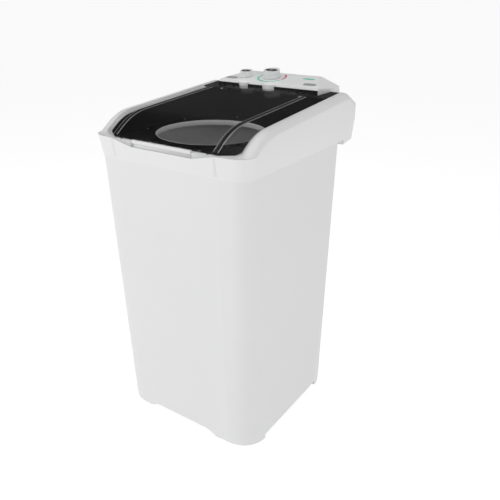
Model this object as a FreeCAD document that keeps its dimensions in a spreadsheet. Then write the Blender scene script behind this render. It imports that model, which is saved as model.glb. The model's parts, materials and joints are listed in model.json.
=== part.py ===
import FreeCAD, Part
import math
import os
import Sketcher

# A tall top-loading washing machine with one moulded cabinet, a hinged smoked hood and a console at the back.
# Frame: millimetres, +X to the right seen from the front, +Y to the back, +Z up.
# The origin is the middle of the footprint, on the floor.

SIZES = {
    # Plan of the top moulding at its lip, the widest part of the machine.
    "lip_half_width": 272,
    "lip_front": 331,
    "machine_back": 331,
    "lip_corner": 50,
    "box_corner": 40,
    # How far each lower outline lies inside the one above it.
    "frame_flare": 8,
    "frame_nose": 10,
    "floor_flare": 4,
    "rake": 27,
    "cabinet_back": 239,
    "floor_corner": 84,
    "flat_half_width": 180,
    "facet_drop": 12,
    # Heights of the shell.
    "seam_height": 890,
    "lip_rise": 60,
    "scoop_depth": 8,
    "scoop_height": 16,
    "scoop_half_width": 108,
    "handle_half_width": 104,
    "handle_hang": 7,
    "handle_lap": 3,
    "shell_wall": 3,
    "foot_floor": 4,
    "foot_pad_height": 3,
    "arch_height": 19,
    "foot_inner": 140,
    "arch_shoulder": 42,
    "foot_front_reach": 84,
    "foot_back_reach": 90,
    "leveller_radius": 8,
    "leveller_inset": 14,
    "leveller_room": 24,
    "leveller_stem_radius": 3,
    "leveller_nut_room": 9,
    "foot_pad_radius": 22,
    "foot_pad_inset": 62,
    "corner_plate_wide": 58,
    "corner_plate_deep": 55,
    # Rim of the opening: a steep front rise, then a gentle slope to the back.
    "rise_start": 300,
    "rise_end": 228,
    "rise": 51,
    "slope": 0.075,
    "rim_bend": 150,
    "box_shoulder": 250,
    "box_shoulder_bend": 25,
    "box_top_drop": 46,
    "shoulder_bend": 22,
    "box_floor_height": 875,
    "box_floor_slope": 0.153,
    # Lid: ridge panel between two creases and two side panels down to the rim.
    "lid_half_width": 239,
    "lid_crease": 182,
    "lid_front": 322,
    "lid_corner_back": 33,
    "lid_skirt": 9,
    "lid_wall": 3,
    "lid_back": 160,
    "lid_gap": 1.5,
    "lid_rest_gap": 2,
    "ridge_rise_run": 72,
    "ridge_rise": 51,
    "ridge_slope": 0.068,
    "ridge_bend": 200,
    "ledge_drop": 6.5,
    "ledge_thick": 3,
    "ledge_width": 8,
    # Hinge.
    "hinge_y": 152,
    "hinge_z": 1027,
    "hinge_x": 150,
    "pin_radius": 3,
    "hinge_fit": 0.1,
    "knuckle_radius": 7.5,
    "knuckle_width": 14,
    "ear_width": 8,
    "ear_gap": 1,
    "hinge_panel_front": 169,
    "hinge_panel_back": 250,
    "hinge_panel_thick": 4,
    # Deck and tub.
    "deck_height": 938,
    "deck_wall": 3,
    "deck_back": 187,
    "mouth_radius": 163,
    "mouth_y": -105,
    "collar_height": 11,
    "tub_y": -62,
    "drain_behind_tub": 105,
    "tub_radius": 222,
    "tub_floor_radius": 206,
    "tub_wall": 3,
    "tub_floor_height": 330,
    "tub_floor_thick": 4,
    "tub_floor_bend": 30,
    "tub_flange": 10,
    "gasket_thick": 2,
    "tub_hub_radius": 21,
    # Console.
    "console_front": 191,
    "console_front_half": 191,
    "console_half": 204,
    "console_flare_y": 250,
    "console_edge_height": 1044,
    "console_bevel_run": 5,
    "console_bevel_rise": 10,
    "console_tilt": 9.5,
    "console_top_back": 305,
    "console_foot_back": 322,
    "console_flat_half": 137,
    "console_end_slope": 22.3,
    "timer_x": -12,
    "timer_y": 246,
    "timer_radius": 29,
    "timer_height": 26,
    "dial_radius": 52,
    "dial_thick": 0.8,
    "selector_x": -108,
    "selector_y": 236,
    "selector_radius": 22,
    "selector_height": 20,
    "spindle_radius": 3,
    "spindle_fit": 0.05,
    "knob_lift": 1,
    "timer_boss_x": 10,
    "timer_boss_radius": 31,
    "timer_boss_bottom": 1032,
    "selector_boss_x": -88,
    "selector_boss_radius": 22,
    "selector_boss_bottom": 1038,
    "boss_reach": 13,
    # Drive.
    "shaft_radius": 10,
    "bearing_radius": 21,
    "bearing_width": 14,
    "bearing_fit": 0.05,
    "housing_radius": 30,
    "housing_flange": 70,
    "housing_length": 90,
    "agitator_radius": 128,
    "agitator_vanes": 4,
    "vane_height": 34,
    "belt_height": 196,
    "belt_width": 10,
    "belt_thick": 8,
    "belt_fit": 0.4,
    "drive_pulley_radius": 120,
    "motor_pulley_radius": 20,
    "pulley_centres": 190,
    "motor_radius": 62,
    "motor_height": 90,
    "motor_shaft_radius": 7,
    "bracket_thick": 4,
    "bracket_half_width": 100,
    "mount_height": 18,
    # Back of the cabinet.
    "cover_half_width": 150,
    "cover_height": 360,
    "cover_bottom": 150,
    "cover_thick": 3,
    "cover_lap": 16,
    "screw_radius": 2,
    "screw_fit": 0.2,
    "drain_x": -125,
    "drain_height": 92,
    "drain_radius": 13,
    "drain_bend": 40,
    "gland_x": 150,
    "gland_height": 92,
    "gland_radius": 10,
}


class Size:
    """A number that also knows the sheet expression it was worked out from."""

    def __init__(self, text, value):
        self.text = text
        self.value = value

    def _with(self, other, sign, value):
        other = size(other)
        return Size(f"({self.text} {sign} {other.text})", value(self.value, other.value))

    def __add__(self, other):
        return self._with(other, "+", lambda a, b: a + b)

    def __radd__(self, other):
        return size(other) + self

    def __sub__(self, other):
        return self._with(other, "-", lambda a, b: a - b)

    def __rsub__(self, other):
        return size(other) - self

    def __mul__(self, other):
        return self._with(other, "*", lambda a, b: a * b)

    def __rmul__(self, other):
        return size(other) * self

    def __truediv__(self, other):
        return self._with(other, "/", lambda a, b: a / b)

    def __neg__(self):
        return size(0) - self


def size(item):
    """Turn a plain number into a Size and leave a Size as it is."""
    if isinstance(item, Size):
        return item
    return Size(repr(float(item)), float(item))


def tangent_of(angle):
    """Tangent of an angle in degrees."""
    return Size(f"tan({angle.text} * 1 deg)", math.tan(math.radians(angle.value)))


def arc_tangent(ratio):
    """Angle in degrees whose tangent is the ratio."""
    return Size(f"(atan({ratio.text}) / 1 deg)", math.degrees(math.atan(ratio.value)))


doc = FreeCAD.newDocument("washing_machine")


class Sheet:
    """The spreadsheet of driving sizes; each alias reads back as a Size."""

    def __init__(self, values):
        self.values = values
        self.cells = doc.addObject("Spreadsheet::Sheet", "sizes")
        for row, (alias, value) in enumerate(values.items(), start=1):
            self.cells.set(f"A{row}", alias)
            self.cells.set(f"B{row}", str(value))
            self.cells.setAlias(f"B{row}", alias)
        doc.recompute()

    def __getattr__(self, alias):
        return Size(f"sizes.{alias}", float(self.values[alias]))


dim = Sheet(SIZES)
nodes = []


# ---------------------------------------------------------------- sketch and feature helpers

def bind(item, target, amount):
    """Bind one property of an object to a Size."""
    item.setExpression(target, size(amount).text)


def keep(item, label):
    """Give a finished sub-part its label and put it on the list of nodes."""
    item.Label = label
    nodes.append(item)
    return item


def new_body(name):
    return doc.addObject("PartDesign::Body", name)


def place(item, x=0, y=0, z=0, tilt=None, axis=(1, 0, 0)):
    """Bind an object's placement: a point and, if given, a turn in degrees about an axis."""
    turn = size(0 if tilt is None else tilt)
    point = FreeCAD.Vector(size(x).value, size(y).value, size(z).value)
    rotation = FreeCAD.Rotation(FreeCAD.Vector(*axis), turn.value)
    item.Placement = FreeCAD.Placement(point, rotation)
    for key, amount in zip("xyz", (x, y, z)):
        bind(item, f"Placement.Base.{key}", amount)
    if tilt is not None:
        bind(item, "Placement.Rotation.Angle", turn)
    return item


def new_sketch(body, plane, offset=0):
    """Attach a sketch to one of the body's own origin planes, at an offset along its normal."""
    sketch = body.newObject("Sketcher::SketchObject", f"{body.Name}_sketch")
    support = [item for item in body.Origin.OriginFeatures if item.Role == f"{plane}_Plane"]
    sketch.AttachmentSupport = (support[0], [""])
    sketch.MapMode = "FlatFace"
    bind(sketch, "AttachmentOffset.Base.z", offset)
    return sketch


def pin_point(sketch, edge, point, across, up):
    """Hold one sketch point at bound distances from the sketch's origin."""
    for kind, amount in (("DistanceX", across), ("DistanceY", up)):
        amount = size(amount)
        rule = Sketcher.Constraint(kind, -1, 1, edge, point, amount.value)
        index = sketch.addConstraint(rule)
        bind(sketch, f"Constraints[{index}]", amount)


def add_loop(sketch, corners):
    """Draw a closed counter-clockwise loop through corners (across, up[, bend radius])."""
    count = len(corners)
    points = [FreeCAD.Vector(size(c[0]).value, size(c[1]).value, 0) for c in corners]
    bends = [size(c[2]) if len(c) > 2 else None for c in corners]
    into = []
    out_of = []
    turns = []
    for i in range(count):
        back = (points[i - 1] - points[i]).normalize()
        ahead = (points[(i + 1) % count] - points[i]).normalize()
        turns.append(back.cross(ahead).z < 0)
        half = back.getAngle(ahead) / 2
        reach = bends[i].value / math.tan(half) if bends[i] else 0
        into.append(points[i] + back * reach)
        out_of.append(points[i] + ahead * reach)
    first = sketch.GeometryCount
    for i in range(count):
        edge = Part.LineSegment(out_of[i], into[(i + 1) % count])
        sketch.addGeometry(edge, False)
    for i in range(count):
        before = first + (i - 1) % count
        after = first + i
        if bends[i] is None:
            sketch.addConstraint(Sketcher.Constraint("Coincident", before, 2, after, 1))
            pin_point(sketch, after, 1, *corners[i][:2])
            continue
        middle = (into[i] + out_of[i]) / 2 - points[i]
        reach = (into[i] - points[i]).Length
        centre = points[i] + middle.normalize() * math.hypot(reach, bends[i].value)
        arc = sketch.addGeometry(Part.ArcOfCircle(
            Part.Circle(centre, FreeCAD.Vector(0, 0, 1), bends[i].value),
            *sweep(centre, into[i], out_of[i], turns[i])), False)
        start, end = (1, 2) if turns[i] else (2, 1)
        sketch.addConstraint(Sketcher.Constraint("Tangent", before, 2, arc, start))
        sketch.addConstraint(Sketcher.Constraint("Tangent", arc, end, after, 1))
        index = sketch.addConstraint(Sketcher.Constraint("Radius", arc, bends[i].value))
        bind(sketch, f"Constraints[{index}]", bends[i])
        mark = sketch.addGeometry(Part.Point(points[i]), True)
        sketch.addConstraint(Sketcher.Constraint("PointOnObject", mark, 1, before))
        sketch.addConstraint(Sketcher.Constraint("PointOnObject", mark, 1, after))
        pin_point(sketch, mark, 1, *corners[i][:2])
    return sketch


def sweep(centre, start, end, counter_clockwise):
    """Angles of an arc from start to end, given counter-clockwise as the sketcher wants them."""
    first = math.atan2(start.y - centre.y, start.x - centre.x)
    last = math.atan2(end.y - centre.y, end.x - centre.x)
    if not counter_clockwise:
        first, last = last, first
    if last < first:
        last += 2 * math.pi
    return first, last


def add_circle(sketch, across, up, radius):
    """Draw a circle whose centre and radius are bound."""
    centre = FreeCAD.Vector(size(across).value, size(up).value, 0)
    index = sketch.addGeometry(Part.Circle(centre, FreeCAD.Vector(0, 0, 1), size(radius).value), False)
    rule = sketch.addConstraint(Sketcher.Constraint("Radius", index, size(radius).value))
    bind(sketch, f"Constraints[{rule}]", radius)
    pin_point(sketch, index, 3, across, up)
    return sketch


def feature(body, kind, sketch, **amounts):
    """Add a profile feature to a body and bind its amounts."""
    item = body.newObject(f"PartDesign::{kind}", f"{body.Name}_{kind.lower()}")
    item.Profile = (sketch, [""])
    for target, amount in amounts.items():
        if isinstance(amount, (Size, int, float)) and not isinstance(amount, bool):
            bind(item, target, amount)
        else:
            setattr(item, target, amount)
    sketch.Visibility = False
    return item


def pad(body, sketch, length, **more):
    return feature(body, "Pad", sketch, Length=size(length), **more)


def pocket(body, sketch, length, **more):
    """Cut a sketch into a body; a cut that removes nothing is an error."""
    doc.recompute()
    before = body.Shape.Volume
    item = feature(body, "Pocket", sketch, Length=size(length), **more)
    doc.recompute()
    if not body.Shape.Volume < before - 1e-3:
        raise RuntimeError(f"a cut in {body.Name} removes nothing")
    return item


def cut_across(body, plane, corners, length=2000):
    """Cut a loop right through a body, both ways from the plane."""
    return pocket(body, add_loop(new_sketch(body, plane), corners), length, SideType="Symmetric")


def revolve(body, sketch):
    """Turn a half section a full turn about the sketch's upright axis."""
    item = body.newObject("PartDesign::Revolution", f"{body.Name}_revolution")
    item.Profile = (sketch, [""])
    item.ReferenceAxis = (sketch, ["V_Axis"])
    item.Angle = 360
    sketch.Visibility = False
    return item


def turned(name, corners, x=0, y=0, z=0, tilt=None):
    """A turned piece from its half section (radius, height), stood at a point."""
    body = new_body(name)
    revolve(body, add_loop(new_sketch(body, "XZ"), corners))
    return place(body, x, y, z, tilt)


def loft(body, sketches, kind="AdditiveLoft"):
    """Join outlines with straight lines from the first to the last."""
    item = body.newObject(f"PartDesign::{kind}", f"{body.Name}_{kind.lower()}")
    item.Profile = (sketches[0], [""])
    item.Sections = [(sketch, [""]) for sketch in sketches[1:]]
    item.Ruled = True
    return item


def around(body, items, count, axis="Z"):
    """Repeat features evenly about one of the body's own axes."""
    doc.recompute()
    item = body.newObject("PartDesign::PolarPattern", f"{body.Name}_round")
    item.Originals = items
    item.Axis = ([a for a in body.Origin.OriginFeatures if a.Role == f"{axis}_Axis"][0], [""])
    item.Angle = 360
    bind(item, "Occurrences", count)
    body.Tip = item
    return item


def box(name, x, y, z, wide, deep, high):
    """A box from its middle in x and y and its underside in z."""
    item = doc.addObject("Part::Box", name)
    bind(item, "Length", wide)
    bind(item, "Width", deep)
    bind(item, "Height", high)
    return place(item, size(x) - size(wide) / 2, size(y) - size(deep) / 2, z)


def rod(name, x, y, z, radius, high, tilt=None, axis=(1, 0, 0)):
    """A cylinder from the middle of its first end."""
    item = doc.addObject("Part::Cylinder", name)
    bind(item, "Radius", radius)
    bind(item, "Height", high)
    return place(item, x, y, z, tilt, axis)


def join(name, items):
    item = doc.addObject("Part::MultiFuse", name)
    item.Shapes = items
    return item


def cut(name, base, tools):
    """Take one or more tools away from a base."""
    item = doc.addObject("Part::Cut", name)
    item.Base = base
    item.Tool = tools[0] if len(tools) == 1 else join(f"{name}_tools", tools)
    return item


def gather(name, items):
    """Keep like pieces apart as separate solids of one node."""
    item = doc.addObject("Part::Compound", name)
    item.Links = items
    return item


def bolt(name, x, y, z, head, grip, tilt=None):
    """A round-headed screw whose head stands on a surface and whose shank goes down into it."""
    top = head * 0.6
    corners = [(0, -grip), (dim.screw_radius, -grip), (dim.screw_radius, 0), (head, 0), (head, top), (0, top)]
    return turned(name, corners, x, y, z, tilt)


def spots_around(count, radius, y):
    """Points evenly round a circle about the tub's axis."""
    angles = [math.tau * (i + 0.5) / count for i in range(count)]
    return [(radius * math.cos(a), y + radius * math.sin(a)) for a in angles]


# ---------------------------------------------------------------- places shared by several pieces

FAR = 450
lip_height = dim.seam_height + dim.lip_rise
seam_half = dim.lip_half_width - dim.frame_flare
seam_front = dim.lip_front - dim.frame_nose
floor_half = seam_half + dim.floor_flare
floor_front = seam_front - dim.rake
floor_back = dim.cabinet_back - dim.rake
rake_slope = dim.rake / (dim.seam_height - dim.foot_pad_height)
rake_angle = arc_tangent(rake_slope)
steep = dim.rise / (dim.rise_start - dim.rise_end)
lid_base = lip_height + dim.lid_rest_gap
lid_lip = lid_base + dim.lid_skirt
lid_corner_front = dim.lid_front - dim.lid_corner_back
console_slope = tangent_of(dim.console_tilt)
console_bevel_y = dim.console_front + dim.console_bevel_run
console_bevel_z = dim.console_edge_height + dim.console_bevel_rise
housing_bottom = dim.tub_floor_height - dim.tub_floor_thick - dim.housing_length
tub_underside = dim.tub_floor_height - dim.tub_floor_thick
tub_rim = dim.deck_height - dim.deck_wall - dim.gasket_thick
tub_outer = dim.tub_radius + dim.tub_wall
flange_screw_radius = tub_outer + dim.tub_flange / 2
drain_y = dim.tub_y + dim.drain_behind_tub
leveller_stem = size(dim.leveller_stem_radius)
leveller_x = -dim.foot_inner - dim.leveller_room / 2
leveller_y = dim.leveller_inset - floor_front
bracket_top = tub_underside - dim.mount_height
motor_y = dim.tub_y + dim.pulley_centres
motor_top = bracket_top - dim.bracket_thick


def back_face(z):
    """How far back the cabinet's raked rear wall stands at a height."""
    return dim.cabinet_back - rake_slope * (dim.seam_height - z)


def rim(y, drop=0):
    """Height of the gently sloping part of the opening's rim."""
    return lip_height + dim.rise + dim.slope * (y + dim.rise_end) - drop


def ridge(y, drop=0):
    """Height of the lid's middle panel behind its bend."""
    return lid_lip + dim.ridge_rise + dim.ridge_slope * (y + dim.lid_front - dim.ridge_rise_run) - drop


def console_top(y):
    """Height of the console's tilted face."""
    return console_bevel_z + console_slope * (y - console_bevel_y)


def shell_plan(half, front, back, front_bend, back_bend):
    """Outline of the shell in plan: a flat front between two creases, facets, round corners, a flat back."""
    side = dim.facet_drop - front
    rear_flat = dim.cover_half_width + dim.cover_lap
    return [
        (-dim.flat_half_width, -front),
        (dim.flat_half_width, -front),
        (half, side, front_bend),
        (half, back, back_bend),
        (rear_flat, back),
        (-rear_flat, back),
        (-half, back, back_bend),
        (-half, side, front_bend),
    ]


def lid_plan(grow, back):
    """Outline of the lid in plan, grown or shrunk, from its front edge to a line across the back."""
    front = dim.lid_front + grow
    corner = lid_corner_front + grow
    half = dim.lid_half_width + grow
    return [
        (-dim.lid_crease, -front),
        (dim.lid_crease, -front),
        (half, -corner),
        (half, back),
        (-half, back),
        (-half, -corner),
    ]


def rim_line(drop, front_height):
    """Side view of a surface under the rim, from the front lip to the box behind the cabinet."""
    start = dim.rise_start - (front_height - lip_height + drop) / steep
    return [
        (-FAR, front_height),
        (-start, front_height),
        (-dim.rise_end, lip_height + dim.rise - drop, dim.rim_bend),
        (dim.box_shoulder, rim(dim.box_shoulder, drop), dim.box_shoulder_bend),
        (dim.machine_back, rim(dim.box_shoulder, drop) - dim.box_top_drop),
        (FAR, rim(dim.box_shoulder, drop) - dim.box_top_drop),
    ]


def above(line, top=1300):
    """Close a side-view line, drawn from front to back, over the space above it."""
    return line + [(line[-1][0], top), (line[0][0], top)]


# ---------------------------------------------------------------- cabinet

def make_cabinet():
    """The moulded body: raked walls, four corner feet and an arch between them."""
    body = new_body("cabinet")
    for inset, bottom, kind in (
        (0, dim.foot_pad_height, "AdditiveLoft"),
        (dim.shell_wall, dim.foot_pad_height + dim.foot_floor, "SubtractiveLoft"),
    ):
        low = add_loop(new_sketch(body, "XY", bottom), shell_plan(
            floor_half - inset, floor_front - inset, floor_back - inset,
            dim.floor_corner - inset, dim.floor_corner - inset))
        high = add_loop(new_sketch(body, "XY", dim.seam_height), shell_plan(
            seam_half - inset, seam_front - inset, dim.cabinet_back - inset,
            dim.lip_corner - inset, dim.lip_corner - inset))
        loft(body, [low, high], kind)
    arch_bend = dim.arch_height
    left = -dim.foot_inner - dim.leveller_room
    cut_across(body, "XZ", [
        (left, -1),
        (dim.foot_inner, -1),
        (dim.foot_inner - dim.arch_shoulder, dim.arch_height, arch_bend),
        (left + dim.arch_shoulder, dim.arch_height, arch_bend),
    ])
    front_foot = dim.foot_front_reach - floor_front
    back_foot = floor_back - dim.foot_back_reach
    cut_across(body, "YZ", [
        (front_foot, -1),
        (back_foot, -1),
        (back_foot, dim.arch_height),
        (front_foot, dim.arch_height),
    ])
    shelf_high = dim.arch_height + dim.foot_floor
    shelf = [(left - 10, 1 - floor_front), (-dim.foot_inner, 1 - floor_front),
             (-dim.foot_inner, 2 * dim.leveller_inset - floor_front),
             (left - 10, 2 * dim.leveller_inset - floor_front)]
    pad(body, add_loop(new_sketch(body, "XY", dim.arch_height), shelf), dim.foot_floor)
    stem_hole = leveller_stem + dim.screw_fit
    stem = add_circle(new_sketch(body, "XY", shelf_high), leveller_x, leveller_y, stem_hole)
    pocket(body, stem, dim.foot_floor * 2)
    foot_hole = dim.leveller_radius + 1
    foot = add_circle(new_sketch(body, "XY", dim.arch_height), leveller_x, leveller_y, foot_hole)
    pocket(body, foot, dim.arch_height)
    window = new_sketch(body, "XZ", -100)
    edge = dim.cover_half_width - dim.cover_lap
    low = dim.cover_bottom + dim.cover_lap
    high = dim.cover_bottom + dim.cover_height - dim.cover_lap
    pocket(body, add_loop(window, [(-edge, low), (edge, low), (edge, high), (-edge, high)]), 400)
    holes = new_sketch(body, "XZ", -100)
    add_circle(holes, dim.drain_x, dim.drain_height, dim.drain_radius)
    add_circle(holes, dim.gland_x, dim.gland_height, dim.gland_radius + dim.screw_fit)
    for x, z in cover_screw_spots():
        add_circle(holes, x, z, dim.screw_radius + dim.screw_fit)
    pocket(body, holes, 400)
    return keep(body, "cabinet")


def make_levelling_foot():
    """The turned foot that takes up an uneven floor, on its threaded stem."""
    radius = dim.leveller_radius
    high = dim.arch_height + dim.foot_floor + dim.leveller_nut_room
    foot = turned("levelling_foot", [
        (0, 0),
        (radius, 0, 1),
        (radius - 1, dim.arch_height - 5, 1),
        (leveller_stem, dim.arch_height - 5),
        (leveller_stem, high),
        (0, high),
    ], leveller_x, leveller_y, 0)
    return keep(foot, "levelling_foot")


def make_foot_pads():
    """A rubber pad under each moulded foot."""
    reach = dim.foot_front_reach / 2
    across = floor_half - dim.foot_pad_inset
    spots = [(side * across, reach - floor_front + 12) for side in (-1, 1)]
    spots += [(side * across, floor_back - reach - 12) for side in (-1, 1)]
    pads = []
    for number, (x, y) in enumerate(spots):
        pads.append(rod(f"foot_pad_{number}", x, y, 0, dim.foot_pad_radius, dim.foot_pad_height))
    return keep(gather("foot_pads", pads), "foot_pads")


def cover_screw_spots():
    """Screw places round the service cover, as (x, z) on the cabinet's back."""
    inset = dim.cover_lap / 2
    across = dim.cover_half_width - inset
    rows = [inset, dim.cover_height / 2, dim.cover_height - inset]
    return [(side * across, dim.cover_bottom + row) for row in rows for side in (-1, 1)]


def make_rear_cover():
    """The service cover, lying on the raked rear wall."""
    body = new_body("rear_cover")
    half = dim.cover_half_width
    outline = [(-half, 0, 12), (half, 0, 12), (half, dim.cover_height, 12), (-half, dim.cover_height, 12)]
    pad(body, add_loop(new_sketch(body, "XZ"), outline), dim.cover_thick, Reversed=True)
    slots = new_sketch(body, "XZ")
    for row in range(6):
        low = dim.cover_height * 0.6 + row * 16
        add_loop(slots, [(-60, low), (60, low), (60, low + 5), (-60, low + 5)])
    pocket(body, slots, dim.cover_thick * 4, SideType="Symmetric")
    holes = new_sketch(body, "XZ")
    for x, z in cover_screw_spots():
        add_circle(holes, x, z - dim.cover_bottom, dim.screw_radius + 3 * dim.screw_fit)
    pocket(body, holes, dim.cover_thick * 4, SideType="Symmetric")
    place(body, 0, back_face(dim.cover_bottom), dim.cover_bottom, -rake_angle)
    screws = []
    for number, (x, z) in enumerate(cover_screw_spots()):
        screws.append(bolt(f"cover_screw_{number}", x, back_face(z) + dim.cover_thick, z,
                           dim.screw_radius * 2, 9, -rake_angle - 90))
    keep(body, "rear_cover")
    return keep(gather("cover_screws", screws), "cover_screws")


# ---------------------------------------------------------------- top moulding

def frame_block(name, inset, bottom):
    """The top moulding's outline as a block that flares from the seam to the lip."""
    body = new_body(name)
    low = add_loop(new_sketch(body, "XY", bottom), shell_plan(
        seam_half - inset, seam_front - inset, dim.machine_back - inset,
        dim.lip_corner - inset, dim.box_corner - inset))
    lip = shell_plan(
        dim.lip_half_width - inset, dim.lip_front - inset, dim.machine_back - inset,
        dim.lip_corner - inset, dim.box_corner - inset)
    high = add_loop(new_sketch(body, "XY", lip_height), lip)
    loft(body, [low, high])
    pad(body, add_loop(new_sketch(body, "XY", lip_height), lip), dim.rise * 3)
    return body


def box_floor(body, lift, front, seam):
    """Cut away what lies under the box behind the cabinet, and under the seam in front of it."""
    low = dim.box_floor_height + lift
    high = low + dim.box_floor_slope * (FAR - front)
    line = [(-FAR, seam - 200), (FAR, seam - 200), (FAR, high), (front, low), (front, seam), (-FAR, seam)]
    cut_across(body, "YZ", line)


def round_shoulders(body, inset, depth, front_height, steps=4):
    """Round the top of both side walls by cutting with a ruled loft that follows a quarter circle."""
    bend = dim.shoulder_bend - inset
    for side in (-1, 1):
        slices = []
        for step in range(steps + 1):
            turn = math.pi / 2 * step / steps
            x = dim.lip_half_width - inset - bend * (1 - math.sin(turn)) + (1 if step == steps else 0)
            drop = bend * (1 - math.cos(turn)) + depth
            line = above(rim_line(drop, front_height))
            slices.append(add_loop(new_sketch(body, "YZ", x * side), line))
        loft(body, slices, "SubtractiveLoft")


def make_top_frame():
    """The white upper moulding: rim, ledge for the lid, finger scoop and the box at the back."""
    outer = frame_block("frame_outer", 0, dim.box_floor_height)
    cut_across(outer, "YZ", above(rim_line(0, lip_height)))
    box_floor(outer, 0, dim.cabinet_back + 1.5, dim.seam_height)
    round_shoulders(outer, 0, 0, lip_height)
    scoop = dim.lip_front - dim.scoop_depth
    scoop_floor = lip_height - dim.scoop_height
    cut_across(outer, "YZ", [(-FAR, scoop_floor), (-scoop, scoop_floor),
                             (-scoop, lip_height + 5), (-FAR, lip_height + 5)], dim.scoop_half_width * 2)
    core = frame_block("frame_core", dim.shell_wall, dim.box_floor_height - 10)
    roof = dim.ledge_drop + dim.ledge_thick
    cut_across(core, "YZ", above(rim_line(roof, lip_height - dim.ledge_thick)))
    round_shoulders(core, dim.shell_wall, roof, lip_height - dim.ledge_thick)
    box_floor(core, dim.shell_wall, dim.cabinet_back - dim.shell_wall, dim.box_floor_height - 5)
    wall = dim.shell_wall
    cut_across(core, "YZ", [(-FAR, scoop_floor - wall), (wall - scoop, scoop_floor - wall),
                            (wall - scoop, lip_height + 5), (-FAR, lip_height + 5)],
               (dim.scoop_half_width + wall) * 2)
    recess = new_body("lid_recess")
    outline = lid_plan(dim.lid_gap, dim.hinge_panel_back + dim.lid_gap)
    pad(recess, add_loop(new_sketch(recess, "XY", lip_height), outline), dim.rise * 3)
    shelf = rim_line(dim.ledge_drop, lip_height)
    cut_across(recess, "YZ", [(shelf[0][0], lip_height - 50), (FAR, lip_height - 50), (FAR, shelf[-1][1])]
               + shelf[-2:0:-1] + [(shelf[0][0], shelf[0][1])])
    opening = new_body("frame_opening")
    hole = lid_plan(-dim.ledge_width, dim.deck_back - 5)
    pad(opening, add_loop(new_sketch(opening, "XY", lip_height - 20), hole), dim.rise * 3)
    window = box("switch_window", -58, dim.timer_y, lip_height, 190, 76, 150)
    shell = cut("frame_shell", outer, [core, recess, opening, window])
    return keep(join("top_frame", [shell] + corner_plates()), "top_frame")


def corner_plates():
    """What closes the moulding behind the cabinet: a low wall and a plate over each round corner."""
    wall = dim.shell_wall
    front = dim.cabinet_back + 1.5
    high = dim.seam_height - dim.box_floor_height + wall
    plates = [box("box_front_wall", 0, front + wall / 2, dim.box_floor_height, (seam_half - wall / 2) * 2, wall, high)]
    middle = seam_half - wall / 2 - dim.corner_plate_wide / 2
    back = front + 1 - dim.corner_plate_deep / 2
    for number, side in enumerate((-1, 1)):
        plates.append(box(f"corner_plate_{number}", middle * side, back, dim.seam_height,
                          dim.corner_plate_wide, dim.corner_plate_deep, wall))
    return plates


# ---------------------------------------------------------------- deck and tub

def make_tub_deck():
    """The black tray under the lid, with a collar round the tub's mouth."""
    body = new_body("tub_deck")
    under = dim.deck_height - dim.deck_wall
    step = dim.ledge_width - 5
    pad(body, add_loop(new_sketch(body, "XY", under), lid_plan(-step, dim.deck_back)), 150)
    inside = lid_plan(-step - dim.deck_wall, dim.deck_back - dim.deck_wall)
    pocket(body, add_loop(new_sketch(body, "XY", dim.deck_height), inside), 300, Reversed=True)
    roof = dim.ledge_drop + dim.ledge_thick
    cut_across(body, "YZ", above(rim_line(roof, lip_height - dim.ledge_thick)))
    collar = dim.mouth_radius + dim.deck_wall
    pad(body, add_circle(new_sketch(body, "XY", dim.deck_height), 0, dim.mouth_y, collar), dim.collar_height)
    mouth = add_circle(new_sketch(body, "XY", dim.deck_height), 0, dim.mouth_y, dim.mouth_radius)
    pocket(body, mouth, 200, SideType="Symmetric")
    pocket(body, screw_circle(body, dim.deck_height), 20, SideType="Symmetric")
    return keep(body, "tub_deck")


def screw_circle(body, height, y=None):
    """Clearance holes for the screws that hang the tub from the deck."""
    sketch = new_sketch(body, "XY", height)
    for x, across in spots_around(8, flange_screw_radius, dim.tub_y if y is None else y):
        add_circle(sketch, x, across, dim.screw_radius + dim.screw_fit)
    return sketch


def make_tub():
    """The wash tub: tapered wall, dished corner, flange and a hub hole for the shaft."""
    body = new_body("tub")
    wall = dim.tub_wall
    revolve(body, add_loop(new_sketch(body, "XZ"), [
        (dim.tub_hub_radius, tub_underside),
        (dim.tub_floor_radius + wall, tub_underside, dim.tub_floor_bend + wall),
        (tub_outer, tub_rim - wall),
        (tub_outer + dim.tub_flange, tub_rim - wall),
        (tub_outer + dim.tub_flange, tub_rim),
        (dim.tub_radius, tub_rim),
        (dim.tub_floor_radius, dim.tub_floor_height, dim.tub_floor_bend),
        (dim.tub_hub_radius, dim.tub_floor_height),
    ]))
    pocket(body, screw_circle(body, tub_rim, 0), 20, SideType="Symmetric")
    drain = add_circle(new_sketch(body, "XY", dim.tub_floor_height), dim.drain_x, drain_y - dim.tub_y,
                       dim.drain_radius - 3)
    pocket(body, drain, 20, SideType="Symmetric")
    place(body, 0, dim.tub_y, 0)
    return keep(body, "tub")


def make_tub_fixings():
    """The gasket between tub and deck, and the screws through both."""
    body = new_body("tub_gasket")
    ring = new_sketch(body, "XY", tub_rim)
    add_circle(ring, 0, 0, tub_outer + dim.tub_flange)
    add_circle(ring, 0, 0, tub_outer - 1)
    pad(body, ring, dim.gasket_thick)
    pocket(body, screw_circle(body, tub_rim, 0), 20, SideType="Symmetric")
    place(body, 0, dim.tub_y, 0)
    keep(body, "tub_gasket")
    screws = []
    for number, (x, y) in enumerate(spots_around(8, flange_screw_radius, dim.tub_y)):
        screws.append(bolt(f"tub_screw_{number}", x, y, dim.deck_height, dim.screw_radius * 2, 12))
    keep(gather("tub_screws", screws), "tub_screws")


# ---------------------------------------------------------------- lid and hinge

def lid_section(body, x, front, back, base, top):
    """One upright slice of the lid: its base, back, roof, bend and front."""
    front_top, bend_y, bend_z, bend, back_top = top
    return add_loop(new_sketch(body, "YZ", x), [
        (-front, base),
        (back, base),
        (back, back_top),
        (bend_y, bend_z, bend),
        (-front, front_top),
    ])


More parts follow.
